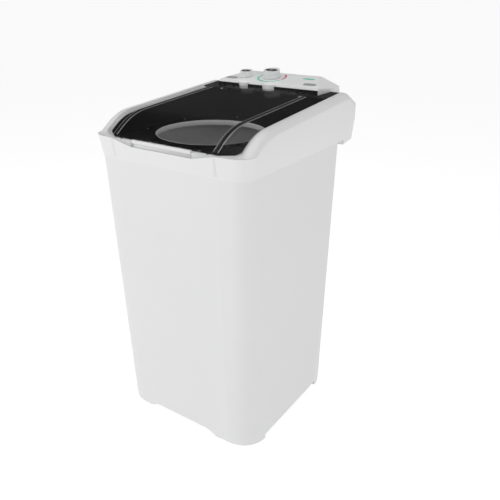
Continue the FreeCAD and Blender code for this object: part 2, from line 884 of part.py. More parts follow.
def lid_roof(grow, drop, back):
    """The outer or inner roof of the lid at a crease and at the rim beside it."""
    crease_front = dim.lid_front - grow
    rim_front = lid_corner_front - grow
    crease = (lid_lip - drop, dim.ridge_rise_run - dim.lid_front, lid_lip + dim.ridge_rise - drop,
              dim.ridge_bend, ridge(back, drop))
    edge_top = lip_height + steep * (dim.rise_start - lid_corner_front)
    edge = (edge_top - drop, -dim.rise_end, lip_height + dim.rise - drop, dim.rim_bend, rim(back, drop))
    return crease_front, crease, rim_front, edge


def make_lid():
    """The smoked hood: a thin skin over four slices, with knuckles at the back."""
    body = new_body("lid")
    for inset, drop, back, base, kind in (
        (0, 0, dim.lid_back, lid_base, "AdditiveLoft"),
        (dim.lid_wall * 0.8, dim.lid_wall, dim.lid_back + 5, lid_base - 5, "SubtractiveLoft"),
    ):
        crease_front, crease, rim_front, edge = lid_roof(inset, drop, back)
        crease_x = dim.lid_crease - inset * 0.4
        edge_x = dim.lid_half_width + inset * 1.5
        slices = [
            lid_section(body, -edge_x, rim_front, back, base, edge),
            lid_section(body, -crease_x, crease_front, back, base, crease),
            lid_section(body, crease_x, crease_front, back, base, crease),
            lid_section(body, edge_x, rim_front, back, base, edge),
        ]
        loft(body, slices, kind)
    notches = new_sketch(body, "XY", lip_height)
    for side in (-1, 1):
        for ear in ear_places(side):
            half = dim.ear_width / 2 + dim.ear_gap
            add_loop(notches, [
                (ear - half, dim.hinge_y - dim.knuckle_radius - 2),
                (ear + half, dim.hinge_y - dim.knuckle_radius - 2),
                (ear + half, dim.lid_back + 5),
                (ear - half, dim.lid_back + 5),
            ])
        near = side * (dim.lid_half_width - dim.ledge_width - 3)
        far = side * (dim.lid_half_width + 5)
        left, right = (near, far) if side > 0 else (far, near)
        add_loop(notches, [
            (left, dim.hinge_y),
            (right, dim.hinge_y),
            (right, dim.lid_back + 5),
            (left, dim.lid_back + 5),
        ])
    pocket(body, notches, 300, Reversed=True)
    for side in (-1, 1):
        radius = dim.knuckle_radius
        knuckle = add_loop(new_sketch(body, "YZ", side * dim.hinge_x), [
            (dim.hinge_y - radius, dim.hinge_z - radius, radius - 0.2),
            (dim.hinge_y + radius, dim.hinge_z - radius, radius - 0.2),
            (dim.hinge_y + radius, ridge(dim.hinge_y, 2)),
            (dim.hinge_y - radius, ridge(dim.hinge_y, 2) - 1),
        ])
        pad(body, knuckle, dim.knuckle_width, SideType="Symmetric")
    bore = add_circle(new_sketch(body, "YZ"), dim.hinge_y, dim.hinge_z, dim.pin_radius + dim.hinge_fit)
    pocket(body, bore, 1000, SideType="Symmetric")
    return keep(body, "lid")


def ear_places(side):
    """Middles of the two ears that hold one hinge pin."""
    reach = (dim.knuckle_width + dim.ear_width) / 2 + dim.ear_gap
    return [side * dim.hinge_x - reach, side * dim.hinge_x + reach]


def make_lid_handle():
    """The light finger pull along the lid's front edge."""
    body = new_body("lid_handle")
    low = lid_base - dim.handle_hang
    high = lid_base + dim.handle_lap
    front = 0.8 - dim.lip_front
    back = dim.scoop_depth - dim.lip_front - 0.6
    section = add_loop(new_sketch(body, "YZ"), [
        (front, low, 2),
        (back, low),
        (back, lid_base - 1),
        (-dim.lid_front, lid_base - 1),
        (-dim.lid_front, high),
        (front, high, 4),
    ])
    pad(body, section, dim.handle_half_width * 2, SideType="Symmetric")
    return keep(body, "lid_handle")


def make_hinge_panel():
    """The fixed black strip behind the lid, with its riser under the console and its hinge ears."""
    body = new_body("hinge_panel")
    front = dim.hinge_panel_front
    back = dim.hinge_panel_back
    half = dim.lid_half_width
    pad(body, add_loop(new_sketch(body, "XY", lip_height), [
        (-half, front), (half, front), (half, back), (-half, back)]), 150)
    top = dim.ledge_drop - dim.hinge_panel_thick
    cut_across(body, "YZ", above([(0, rim(0, top)), (FAR, rim(FAR, top))]))
    cut_across(body, "YZ", [(0, 900), (FAR, 900), (FAR, rim(FAR, dim.ledge_drop)), (0, rim(0, dim.ledge_drop))])
    gap = 0.5
    flare = [
        (-dim.console_front_half - gap, dim.console_front - gap),
        (dim.console_front_half + gap, dim.console_front - gap),
        (dim.console_half + gap, dim.console_flare_y),
        (dim.console_half + gap, FAR),
        (-dim.console_half - gap, FAR),
        (-dim.console_half - gap, dim.console_flare_y),
    ]
    pocket(body, add_loop(new_sketch(body, "XY", 1000), flare), 400, SideType="Symmetric")
    riser_half = dim.console_front_half - 1
    riser_back = dim.console_front - gap
    riser_low = rim(front, dim.ledge_drop - 2)
    riser = add_loop(new_sketch(body, "XY", riser_low), [
        (-riser_half, riser_back - 3.5), (riser_half, riser_back - 3.5),
        (riser_half, riser_back), (-riser_half, riser_back)])
    pad(body, riser, dim.console_edge_height - gap - riser_low)
    bosses = new_sketch(body, "XY", 1000)
    for x, y, radius, low in boss_places():
        add_circle(bosses, x, y, radius + gap)
    pocket(body, bosses, 400, SideType="Symmetric")
    radius = dim.knuckle_radius
    for side in (-1, 1):
        for x in ear_places(side):
            ear = add_loop(new_sketch(body, "YZ", x), [
                (dim.hinge_y - radius, dim.hinge_z - radius, radius - 0.2),
                (front + 8, dim.hinge_z - radius),
                (front + 8, rim(front, dim.ledge_drop - 1)),
                (front - 5, rim(front, dim.ledge_drop - 1)),
                (dim.hinge_y + radius, dim.hinge_z + radius, radius - 1),
                (dim.hinge_y - radius, dim.hinge_z + radius, radius - 0.2),
            ])
            pad(body, ear, dim.ear_width, SideType="Symmetric")
    bore = add_circle(new_sketch(body, "YZ"), dim.hinge_y, dim.hinge_z, dim.pin_radius)
    pocket(body, bore, 1000, SideType="Symmetric")
    return keep(body, "hinge_panel")


def make_hinge_pins():
    """One steel pin through each knuckle and its two ears."""
    length = dim.knuckle_width + 2 * (dim.ear_gap + dim.ear_width)
    pins = []
    for side in (-1, 1):
        pins.append(rod(f"hinge_pin_{side + 1}", side * dim.hinge_x - length / 2, dim.hinge_y, dim.hinge_z,
                        dim.pin_radius, length, 90, (0, 1, 0)))
    return keep(gather("hinge_pins", pins), "hinge_pins")


def make_lid_bumpers():
    """Rubber buttons on the ledge that the lid's front edge comes down on."""
    high = dim.lid_rest_gap - 0.3
    spots = [side * (dim.lid_crease - 30) for side in (-1, 1)]
    bumpers = [rod(f"bumper_{i}", x, 2.5 - dim.lid_front, lip_height, 3, high) for i, x in enumerate(spots)]
    return keep(gather("lid_bumpers", bumpers), "lid_bumpers")


# ---------------------------------------------------------------- console

def boss_places():
    """The two round noses on the console's front edge: x, y, radius and underside."""
    places = []
    for x, radius, low in (
        (dim.timer_boss_x, dim.timer_boss_radius, dim.timer_boss_bottom),
        (dim.selector_boss_x, dim.selector_boss_radius, dim.selector_boss_bottom),
    ):
        places.append((x, dim.console_front + radius - dim.boss_reach, radius, low))
    return places


def console_block(name, inset):
    """The console's wedge: tilted face, bevelled front edge, sloping ends and back."""
    body = new_body(name)
    front = dim.console_front + inset
    front_half = dim.console_front_half - inset
    half = dim.console_half - inset
    back = dim.console_foot_back - inset
    pad(body, add_loop(new_sketch(body, "XY", 980), [
        (-front_half, front), (front_half, front), (half, dim.console_flare_y),
        (half, back), (-half, back), (-half, dim.console_flare_y)]), 120)
    top_back = dim.console_top_back - inset
    cut_across(body, "YZ", above([
        (100, dim.console_edge_height - inset),
        (front, dim.console_edge_height - inset),
        (console_bevel_y + inset * 0.6, console_bevel_z - inset, 4),
        (top_back, console_top(top_back) - inset, 8),
        (back, 1005),
        (FAR, 1005),
    ]))
    shoulder = console_top(dim.console_top_back) - inset
    drop = tangent_of(dim.console_end_slope)
    run = FAR - dim.console_flat_half
    for side in (-1, 1):
        ends = [(side * FAR, 1300), (side * dim.console_flat_half, 1300),
                (side * dim.console_flat_half, shoulder), (side * FAR, shoulder - drop * run)]
        cut_across(body, "XZ", ends if side > 0 else ends[::-1])
    return body


def make_control_panel():
    """The white console: a shell standing on the top moulding, with two round noses at its front."""
    outer = console_block("console_outer", 0)
    seat = rim_line(0, lip_height)
    step = dim.hinge_panel_back + dim.lid_gap
    cut_across(outer, "YZ", [
        (100, 800), (FAR, 800), (FAR, seat[5][1]), seat[4], (step, rim(step)),
        (step, rim(step, dim.ledge_drop)),
        (100, rim(100, dim.ledge_drop)),
    ])
    core = console_block("console_core", dim.shell_wall)
    bores = []
    for name, x, y in (("timer", dim.timer_x, dim.timer_y), ("selector", dim.selector_x, dim.selector_y)):
        bore = new_body(f"{name}_bore")
        circle = add_circle(new_sketch(bore, "XY"), 0, 0, dim.spindle_radius + dim.spindle_fit)
        pad(bore, circle, 60, SideType="Symmetric")
        bores.append(on_console(bore, x, y))
    shell = cut("console_shell", outer, [core] + bores)
    noses = []
    for number, (x, y, radius, low) in enumerate(boss_places()):
        nose = new_body(f"nose_{number}")
        pad(nose, add_circle(new_sketch(nose, "XY", low), x, y, radius), dim.console_edge_height + 4 - low)
        cut_across(nose, "YZ", [(dim.console_front + 2, 900), (FAR, 900), (FAR, 1200),
                                (dim.console_front + 2, 1200)])
        noses.append(nose)
    return keep(join("control_panel", [shell] + noses), "control_panel")


def on_console(item, x, y, lift=0):
    """Stand a piece on the console's tilted face, its own +Z along the face's outward normal."""
    return place(item, x, y - lift * math.sin(math.radians(dim.console_tilt.value)),
                 console_top(y) + lift, dim.console_tilt)


def make_badge_plates():
    """Two blank grey oval plates near the ends of the console."""
    plates = []
    for side in (-1, 1):
        body = new_body(f"badge_plate_{side + 1}")
        outline = [(-22, -10, 9.8), (22, -10, 9.8), (22, 10, 9.8), (-22, 10, 9.8)]
        pad(body, add_loop(new_sketch(body, "XY"), outline), 1)
        plates.append(on_console(body, side * 150, 210))
    return keep(gather("badge_plates", plates), "badge_plates")


def make_control(label, x, y, radius, high, body_half, body_deep):
    """One rotary control: knob, pointer, spindle and the switch under the console."""
    lift = dim.knob_lift
    bore = dim.spindle_radius
    waist = radius * 0.86
    knob = turned(f"{label}_knob", [
        (bore, lift),
        (radius, lift),
        (radius, lift + 4, 1),
        (waist + 1.5, lift + 6),
        (waist, high - 1, 2),
        (waist - 4, high),
        (waist - 5, high - 2),
        (0, high - 2),
        (0, high - 6),
        (bore, high - 6),
    ])
    keep(on_console(knob, x, y), f"{label}_knob")
    pointer = new_body(f"{label}_pointer")
    half = waist - 5.5
    grip = add_loop(new_sketch(pointer, "XY", high - 2), [
        (-4, -half * 0.9, 3), (4, -half * 0.9, 3), (4, half * 0.9, 3), (-4, half * 0.9, 3)])
    pad(pointer, grip, 5)
    keep(on_console(pointer, x, y), f"{label}_pointer")
    spindle = turned(f"{label}_spindle", [(0, -14), (bore, -14), (bore, high - 6), (0, high - 6)])
    keep(on_console(spindle, x, y), f"{label}_spindle")
    switch = new_body(f"{label}_switch")
    half = body_half
    top = -dim.shell_wall - 1.2
    outline = [(-half, -half, 4), (half, -half, 4), (half, half, 4), (-half, half, 4)]
    pad(switch, add_loop(new_sketch(switch, "XY", top), outline), body_deep, Reversed=True)
    hole = add_circle(new_sketch(switch, "XY", top), 0, 0, bore + dim.spindle_fit)
    pocket(switch, hole, 12)
    keep(on_console(switch, x, y), f"{label}_switch")


def make_timer_dial():
    """The thin printed ring round the timer knob."""
    ring = turned("timer_dial", [
        (dim.timer_radius + 3, 0),
        (dim.dial_radius, 0),
        (dim.dial_radius, dim.dial_thick),
        (dim.timer_radius + 3, dim.dial_thick),
    ])
    return keep(on_console(ring, dim.timer_x, dim.timer_y), "timer_dial")


# ---------------------------------------------------------------- drive

def shaft_place(item):
    return place(item, 0, dim.tub_y, 0)


def ring_section(inner, outer, low, high):
    """Half section of a plain ring."""
    return [(inner, low), (outer, low), (outer, high), (inner, high)]


def make_shaft_parts():
    """Shaft, housing, bearings, seal, agitator and the pulley under them."""
    shaft = dim.shaft_radius
    pulley_low = dim.belt_height - dim.belt_width / 2 - 4
    agitator_low = dim.tub_floor_height + 9
    top = agitator_low + 34
    keep(shaft_place(turned("drive_shaft", [
        (0, pulley_low - 12), (shaft, pulley_low - 12), (shaft, top - 6), (0, top - 6)])), "drive_shaft")
    housing = dim.housing_radius
    bearing = dim.bearing_radius
    low_seat = housing_bottom + dim.bearing_width
    high_seat = tub_underside - 6 - dim.bearing_width
    keep(shaft_place(turned("bearing_housing", [
        (bearing, housing_bottom),
        (housing, housing_bottom),
        (housing, tub_underside - 8, 6),
        (dim.housing_flange, tub_underside - 8),
        (dim.housing_flange, tub_underside),
        (bearing, tub_underside),
        (bearing, high_seat),
        (bearing - 4, high_seat),
        (bearing - 4, low_seat),
        (bearing, low_seat),
    ])), "bearing_housing")
    bore = shaft + dim.bearing_fit
    for label, low in (("lower_bearing", housing_bottom), ("upper_bearing", high_seat)):
        keep(shaft_place(turned(label, ring_section(bore, bearing, low, low + dim.bearing_width))), label)
    keep(shaft_place(turned("shaft_seal", [
        (bore, tub_underside - 6),
        (dim.tub_hub_radius, tub_underside - 6),
        (dim.tub_hub_radius, dim.tub_floor_height),
        (dim.tub_hub_radius - 4, dim.tub_floor_height + 5),
        (bore, dim.tub_floor_height + 5),
    ])), "shaft_seal")
    agitator = new_body("agitator")
    reach = dim.agitator_radius
    revolve(agitator, add_loop(new_sketch(agitator, "XZ"), [
        (shaft, agitator_low),
        (reach, agitator_low),
        (reach, agitator_low + 5, 2),
        (40, agitator_low + 14),
        (30, top - 2, 3),
        (shaft, top),
    ]))
    vane = new_sketch(agitator, "XZ")
    add_loop(vane, [
        (27, agitator_low + 3),
        (reach - 6, agitator_low + 3),
        (reach - 6, agitator_low + 10, 5),
        (60, agitator_low + dim.vane_height, 20),
        (27, agitator_low + 16),
    ])
    blade = pad(agitator, vane, 9, SideType="Symmetric")
    around(agitator, [blade], dim.agitator_vanes)
    keep(shaft_place(agitator), "agitator")
    keep(shaft_place(turned("agitator_cap", [
        (0, top),
        (29, top),
        (29, top + 3, 2),
        (12, top + 11, 8),
        (0, top + 11),
    ])), "agitator_cap")
    pulley = new_body("drive_pulley")
    revolve(pulley, add_loop(new_sketch(pulley, "XZ"), pulley_section(dim.drive_pulley_radius, shaft, 9)))
    hole = add_circle(new_sketch(pulley, "XY", dim.belt_height), dim.drive_pulley_radius * 0.55, 0, 22)
    around(pulley, [pocket(pulley, hole, 60, SideType="Symmetric")], 5)
    keep(shaft_place(pulley), "drive_pulley")
    nut = new_body("pulley_nut")
    hexagon = [(17 * math.cos(math.tau * i / 6), 17 * math.sin(math.tau * i / 6)) for i in range(6)]
    sketch = add_loop(new_sketch(nut, "XY", pulley_low), hexagon)
    add_circle(sketch, 0, 0, shaft)
    pad(nut, sketch, 8, Reversed=True)
    keep(shaft_place(nut), "pulley_nut")


def pulley_section(radius, bore, web=None):
    """Half section of a belt pulley with a grooved rim; with a web, a hub stands clear of the rim."""
    half = dim.belt_width / 2 + 4
    low = dim.belt_height - half
    high = dim.belt_height + half
    groove = radius - dim.belt_thick
    slot = dim.belt_width / 2 + dim.belt_fit
    section = [
        (radius, low),
        (radius, dim.belt_height - slot - 0.5),
        (groove, dim.belt_height - slot),
        (groove, dim.belt_height + slot),
        (radius, dim.belt_height + slot + 0.5),
        (radius, high),
    ]
    if web is None:
        return [(bore, low)] + section + [(bore, high)]
    hub = bore + web
    inner = groove - 4
    under = [(bore, low), (hub, low), (hub, dim.belt_height - 2), (inner, dim.belt_height - 2), (inner, low)]
    over = [(inner, high), (inner, dim.belt_height + 2), (hub, dim.belt_height + 2), (hub, high), (bore, high)]
    return under + section + over


def make_belt():
    """The belt: a flat loop round both pulleys, lying in their grooves."""
    item = doc.addObject("Part::Feature", "drive_belt")
    gap = dim.values["belt_fit"]
    thick = dim.values["belt_thick"] - gap
    centres = dim.values["pulley_centres"]
    large = dim.values["drive_pulley_radius"] - dim.values["belt_thick"] + gap
    small = dim.values["motor_pulley_radius"] - dim.values["belt_thick"] + gap
    loops = []
    for grow in (thick, 0):
        lean = math.asin((large - small) / centres)
        right = FreeCAD.Vector(math.cos(lean), math.sin(lean), 0)
        left = FreeCAD.Vector(-math.cos(lean), math.sin(lean), 0)
        far = FreeCAD.Vector(0, centres, 0)
        big = large + grow
        little = small + grow
        loops.append(Part.Wire([
            Part.LineSegment(right * big, far + right * little).toShape(),
            Part.Arc(far + right * little, far + FreeCAD.Vector(0, little, 0), far + left * little).toShape(),
            Part.LineSegment(far + left * little, left * big).toShape(),
            Part.Arc(left * big, FreeCAD.Vector(0, -big, 0), right * big).toShape(),
        ]))
    outside = Part.Face(loops[0]).extrude(FreeCAD.Vector(0, 0, dim.values["belt_width"]))
    inside = Part.Face(loops[1]).extrude(FreeCAD.Vector(0, 0, dim.values["belt_width"]))
    item.Shape = outside.cut(inside)
    place(item, 0, dim.tub_y, dim.belt_height - dim.belt_width / 2)
    return keep(item, "drive_belt")


def motor_place(item):
    return place(item, 0, motor_y, 0)


def make_motor():
    """The motor hanging from its bracket: can, end caps, stator, rotor and pulley."""
    radius = dim.motor_radius
    shaft = dim.motor_shaft_radius
    cap = 8
    low = motor_top - dim.motor_height
    can_low = low + cap
    can_high = motor_top - cap
    fit = dim.bearing_fit
    caps = []
    for name, bottom in (("motor_cap_low", low), ("motor_cap_high", can_high)):
        caps.append(motor_place(turned(name, ring_section(shaft + fit, radius, bottom, bottom + cap))))
    keep(gather("motor_end_caps", caps), "motor_end_caps")
    keep(motor_place(turned("motor_housing", ring_section(radius - 3, radius, can_low, can_high))), "motor_housing")
    keep(motor_place(turned("motor_stator", ring_section(
        radius - 22, radius - 3, can_low + 12, can_high - 12))), "motor_stator")
    pulley_low = dim.belt_height - dim.belt_width / 2 - 4
    keep(motor_place(turned("motor_rotor", [
        (0, pulley_low - 4),
        (shaft, pulley_low - 4),
        (shaft, can_low + 14),
        (radius - 23, can_low + 14),
        (radius - 23, can_high - 14),
        (shaft, can_high - 14),
        (shaft, motor_top - 1),
        (0, motor_top - 1),
    ])), "motor_rotor")
    keep(motor_place(turned("motor_pulley", pulley_section(dim.motor_pulley_radius, shaft))), "motor_pulley")


def make_motor_bracket():
    """The steel plate that carries the motor, hung from the tub on four rubber mounts."""
    body = new_body("motor_bracket")
    half = dim.bracket_half_width
    front = dim.tub_y - half
    back = motor_y + 62
    outline = [(-half, front, 20), (half, front, 20), (half, back, 20), (-half, back, 20)]
    pad(body, add_loop(new_sketch(body, "XY", bracket_top), outline), dim.bracket_thick, Reversed=True)
    holes = new_sketch(body, "XY", bracket_top)
    add_circle(holes, 0, dim.tub_y, dim.housing_radius + 3)
    add_circle(holes, 0, motor_y, dim.motor_shaft_radius + 4)
    pocket(body, holes, 20, SideType="Symmetric")
    keep(body, "motor_bracket")
    inset = 14
    spots = [(side * (half - inset), y) for side in (-1, 1) for y in (front + inset, dim.tub_y + half - inset)]
    mounts = []
    for number, (x, y) in enumerate(spots):
        mounts.append(rod(f"mount_{number}", x, y, bracket_top, 11, dim.mount_height))
    keep(gather("motor_mounts", mounts), "motor_mounts")
    can = rod("capacitor_can", half - 24, dim.tub_y + half + 30, motor_top - 72, 17, 72)
    keep(can, "capacitor")


def make_drain():
    """The drain: an elbow under the tub and a pipe back to the spigot through the rear wall."""
    body = new_body("drain_pipe")
    bend = dim.drain_bend
    wall_y = back_face(dim.drain_height)
    path = new_sketch(body, "YZ", dim.drain_x)
    corner = (drain_y, dim.drain_height)
    add_path(path, (drain_y, tub_underside), corner, (wall_y + 32, dim.drain_height), bend)
    ring = new_sketch(body, "XY", tub_underside)
    add_circle(ring, dim.drain_x, drain_y, dim.drain_radius - 0.2)
    add_circle(ring, dim.drain_x, drain_y, dim.drain_radius - 3)
    pipe = body.newObject("PartDesign::AdditivePipe", "drain_pipe_sweep")
    pipe.Profile = (ring, [""])
    pipe.Spine = (path, [])
    keep(body, "drain_pipe")
    clip = turned("drain_clip", ring_section(dim.drain_radius - 0.2, dim.drain_radius + 6, 0, 4),
                  dim.drain_x, wall_y, dim.drain_height, -rake_angle - 90)
    return keep(clip, "drain_clip")


def add_path(sketch, start, corner, end, bend):
    """An open path of two straight runs, square to each other, joined by an arc."""
    (x0, y0), (x1, y1), (x2, y2) = start, corner, end
    below = size(y1) + bend
    beyond = size(x1) + bend
    points = [FreeCAD.Vector(size(a).value, size(b).value, 0)
              for a, b in ((x0, y0), (x1, below), (beyond, y1), (x2, y2))]
    sketch.addGeometry(Part.LineSegment(points[0], points[1]), False)
    centre = FreeCAD.Vector(points[2].x, points[1].y, 0)
    sketch.addGeometry(Part.ArcOfCircle(
        Part.Circle(centre, FreeCAD.Vector(0, 0, 1), size(bend).value), math.pi, 1.5 * math.pi), False)
    sketch.addGeometry(Part.LineSegment(points[2], points[3]), False)
    sketch.addConstraint(Sketcher.Constraint("Coincident", 0, 2, 1, 1))
    sketch.addConstraint(Sketcher.Constraint("Coincident", 1, 2, 2, 1))
    pin_point(sketch, 0, 1, x0, y0)
    pin_point(sketch, 0, 2, x1, below)
    index = sketch.addConstraint(Sketcher.Constraint("Radius", 1, size(bend).value))
    bind(sketch, f"Constraints[{index}]", bend)
    pin_point(sketch, 2, 1, beyond, y1)
    pin_point(sketch, 2, 2, x2, y2)


def make_cord_gland():
    """The gland where a supply cord would leave the rear wall."""
    inner = dim.gland_radius - 4
    y = back_face(dim.gland_height)
    gland = turned("cord_gland", [
        (inner, -8),
        (dim.gland_radius, -8),
        (dim.gland_radius, 0),
        (dim.gland_radius + 5, 0),
        (dim.gland_radius + 4, 5),
        (dim.gland_radius - 1, 14, 2),
        (inner, 14),
    ], dim.gland_x, y, dim.gland_height, -rake_angle - 90)
    return keep(gland, "cord_gland")


# ---------------------------------------------------------------- build, check and write

def build():
    make_cabinet()
    make_foot_pads()
    make_levelling_foot()
    make_rear_cover()
    make_top_frame()
    make_tub_deck()
    make_tub()
    make_tub_fixings()
    make_lid()
    make_lid_handle()
    make_hinge_panel()
    make_hinge_pins()
    make_lid_bumpers()
    make_control_panel()
    make_badge_plates()
    make_timer_dial()
    make_control("timer", dim.timer_x, dim.timer_y, dim.timer_radius, dim.timer_height, 27, 30)
    make_control("selector", dim.selector_x, dim.selector_y, dim.selector_radius, dim.selector_height, 18, 24)
    make_shaft_parts()
    make_belt()
    make_motor()
    make_motor_bracket()
    make_drain()
    make_cord_gland()
    doc.recompute()


def check():
    """Stop if any object failed to recompute or any sub-part is empty or invalid."""
    for item in doc.Objects:
        if "Invalid" in item.State or "Error" in item.State:
            raise RuntimeError(f"{item.Name} did not compute: {item.State}")
    for item in nodes:
        if item.Shape.isNull() or not item.Shape.isValid() or item.Shape.Volume <= 0:
            raise RuntimeError(f"{item.Label} has no sound shape")


def write():
    os.makedirs("parts", exist_ok=True)
    for item in nodes:
        item.Shape.exportStep(os.path.join("parts", f"{item.Label}.step"))
        space = item.Shape.BoundBox
        print(f"{item.Label:18} x {space.XMin:7.1f} {space.XMax:7.1f}  y {space.YMin:7.1f} {space.YMax:7.1f}"
              f"  z {space.ZMin:7.1f} {space.ZMax:7.1f}  solids {len(item.Shape.Solids)}")


build()
check()
write()
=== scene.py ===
import json
import logging
import math
from dataclasses import dataclass, field
from enum import Enum
from typing import Callable

import bpy
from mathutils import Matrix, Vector

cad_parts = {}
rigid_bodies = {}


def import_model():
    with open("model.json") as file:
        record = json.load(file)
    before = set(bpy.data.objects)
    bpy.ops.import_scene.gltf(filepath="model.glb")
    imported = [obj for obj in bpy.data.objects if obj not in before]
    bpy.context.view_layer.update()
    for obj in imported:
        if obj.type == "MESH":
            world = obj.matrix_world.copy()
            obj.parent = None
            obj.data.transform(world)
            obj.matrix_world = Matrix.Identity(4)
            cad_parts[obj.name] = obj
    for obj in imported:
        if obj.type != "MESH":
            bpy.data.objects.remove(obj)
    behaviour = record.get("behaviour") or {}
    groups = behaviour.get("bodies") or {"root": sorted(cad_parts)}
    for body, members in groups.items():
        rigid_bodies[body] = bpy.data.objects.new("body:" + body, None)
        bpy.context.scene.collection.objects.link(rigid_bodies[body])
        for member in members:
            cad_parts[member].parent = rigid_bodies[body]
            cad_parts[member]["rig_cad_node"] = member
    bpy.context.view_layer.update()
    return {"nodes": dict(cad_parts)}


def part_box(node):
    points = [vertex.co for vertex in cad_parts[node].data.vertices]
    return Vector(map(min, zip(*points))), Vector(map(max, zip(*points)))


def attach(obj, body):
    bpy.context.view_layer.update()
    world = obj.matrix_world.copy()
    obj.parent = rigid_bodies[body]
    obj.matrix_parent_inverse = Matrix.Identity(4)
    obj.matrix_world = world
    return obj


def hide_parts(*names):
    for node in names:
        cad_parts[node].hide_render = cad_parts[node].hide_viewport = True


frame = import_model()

MM = 0.001
TILT = math.radians(9.5)
MERGE_GAP = 0.02 * MM
FLAT_ANGLE = math.radians(1.0)
NORMAL_WEIGHT = 50
RAY_START = 0.2

Colour = tuple[float, float, float]
Point = tuple[float, float, float]
FaceTest = Callable[[Vector, Vector], bool]

log = logging.getLogger("washer")


class Direction(Enum):
    """The way a line of raised detail is pressed on to the shell."""

    FROM_FRONT = (0.0, 1.0, 0.0)
    FROM_RIGHT = (-1.0, 0.0, 0.0)


class Grain(Enum):
    """How coarse the texture of a moulding tool is, in bumps per metre."""

    POLISHED = 260.0
    FINE = 1900.0
    COARSE = 700.0


# ------------------------------------------------------------------ finishes


class Recipe:
    """A material under construction: its node tree, its shader and the piece's own coordinates."""

    def __init__(self, name: str) -> None:
        """Start a material with one shader."""
        self.material = bpy.data.materials.new(name)
        self.material.use_nodes = True
        self.tree = self.material.node_tree
        self.shader = self.tree.nodes["Principled BSDF"]
        self.place = self.tree.nodes.new("ShaderNodeTexCoord").outputs["Object"]

    def set(self, **values: object) -> None:
        """Give the shader's sockets their plain values; an underscore stands for a space."""
        for name, value in values.items():
            self.shader.inputs[name.replace("_", " ")].default_value = value

    def link(self, source: bpy.types.NodeSocket, socket: str) -> None:
        """Lead a pattern into one of the shader's sockets."""
        self.tree.links.new(source, self.shader.inputs[socket])

    def mapped(self, stretch: Point = (1, 1, 1), centre: Point = (0, 0, 0),
               turn: Point = (0, 0, 0)) -> object:
        """Move, turn and stretch the coordinates.

        Args:
            stretch: how many times finer the pattern is along each axis.
            centre: the point that becomes the pattern's origin.
            turn: the turn of the pattern's axes, in radians.

        Returns:
            The socket with the new coordinates.
        """
        item = self.tree.nodes.new("ShaderNodeMapping")
        item.vector_type = "TEXTURE"
        item.inputs["Location"].default_value = centre
        item.inputs["Rotation"].default_value = turn
        item.inputs["Scale"].default_value = [1 / s for s in stretch]
        self.tree.links.new(self.place, item.inputs["Vector"])
        return item.outputs["Vector"]

    def noise(self, scale: float, detail: float = 2.0, stretch: Point = (1, 1, 1)) -> object:
        """Add a cloudy pattern.

        Args:
            scale: features per metre.
            detail: how many finer layers it has.
            stretch: how many times finer it is along each axis.

        Returns:
            The socket with values from 0 to 1.
        """
        item = self.tree.nodes.new("ShaderNodeTexNoise")
        item.inputs["Scale"].default_value = scale
        item.inputs["Detail"].default_value = detail
        self.tree.links.new(self.mapped(stretch), item.inputs["Vector"])
        return item.outputs["Fac"]

    def math(self, kind: str, first: object, second: object = 0.0) -> object:
        """Join two values by arithmetic.

        Args:
            kind: the operation's name.
            first: a socket or a number.
            second: a socket or a number.

        Returns:
            The socket with the result.
        """
        item = self.tree.nodes.new("ShaderNodeMath")
        item.operation = kind
        for socket, value in zip(item.inputs, (first, second)):
            if isinstance(value, (int, float)):
                socket.default_value = value
            else:
                self.tree.links.new(value, socket)
        return item.outputs["Value"]

    def ranged(self, source: object, low: float, high: float,
               start: float = 0.3, end: float = 0.7) -> object:
        """Spread a pattern's middle values between two numbers.

        Args:
            source: the pattern.
            low: the result at start.
            high: the result at end.
            start: the pattern's value that gives low.
            end: the pattern's value that gives high.

        Returns:
            The socket with the result.
        """
        item = self.tree.nodes.new("ShaderNodeMapRange")
        self.tree.links.new(source, item.inputs["Value"])
        for name, value in (("From Min", start), ("From Max", end), ("To Min", low), ("To Max", high)):
            item.inputs[name].default_value = value
        return item.outputs["Result"]

    def blend(self, share: object, first: object, second: object) -> object:
        """Mix two colours.

        Args:
            share: the socket that says how much of the second colour there is.
            first: a colour or a socket.
            second: a colour or a socket.

        Returns:
            The socket with the mixed colour.
        """
        item = self.tree.nodes.new("ShaderNodeMix")
        item.data_type = "RGBA"
        self.tree.links.new(share, item.inputs[0])
        for socket, value in ((item.inputs[6], first), (item.inputs[7], second)):
            if isinstance(value, tuple):
                socket.default_value = (*value, 1)
            else:
                self.tree.links.new(value, socket)
        return item.outputs[2]

    def bump(self, height: object, strength: float, distance: float) -> None:
        """Raise the surface by a pattern, in metres, on top of any earlier pattern."""
        item = self.tree.nodes.new("ShaderNodeBump")
        item.inputs["Strength"].default_value = strength
        item.inputs["Distance"].default_value = distance
        self.tree.links.new(height, item.inputs["Height"])
        earlier = self.shader.inputs["Normal"].links
        if earlier:
            self.tree.links.new(earlier[0].from_socket, item.inputs["Normal"])
        self.link(item.outputs["Normal"], "Normal")


def shaded(colour: Colour, factor: float) -> Colour:
    """The same colour, lighter or darker."""
    return tuple(min(1.0, channel * factor) for channel in colour)


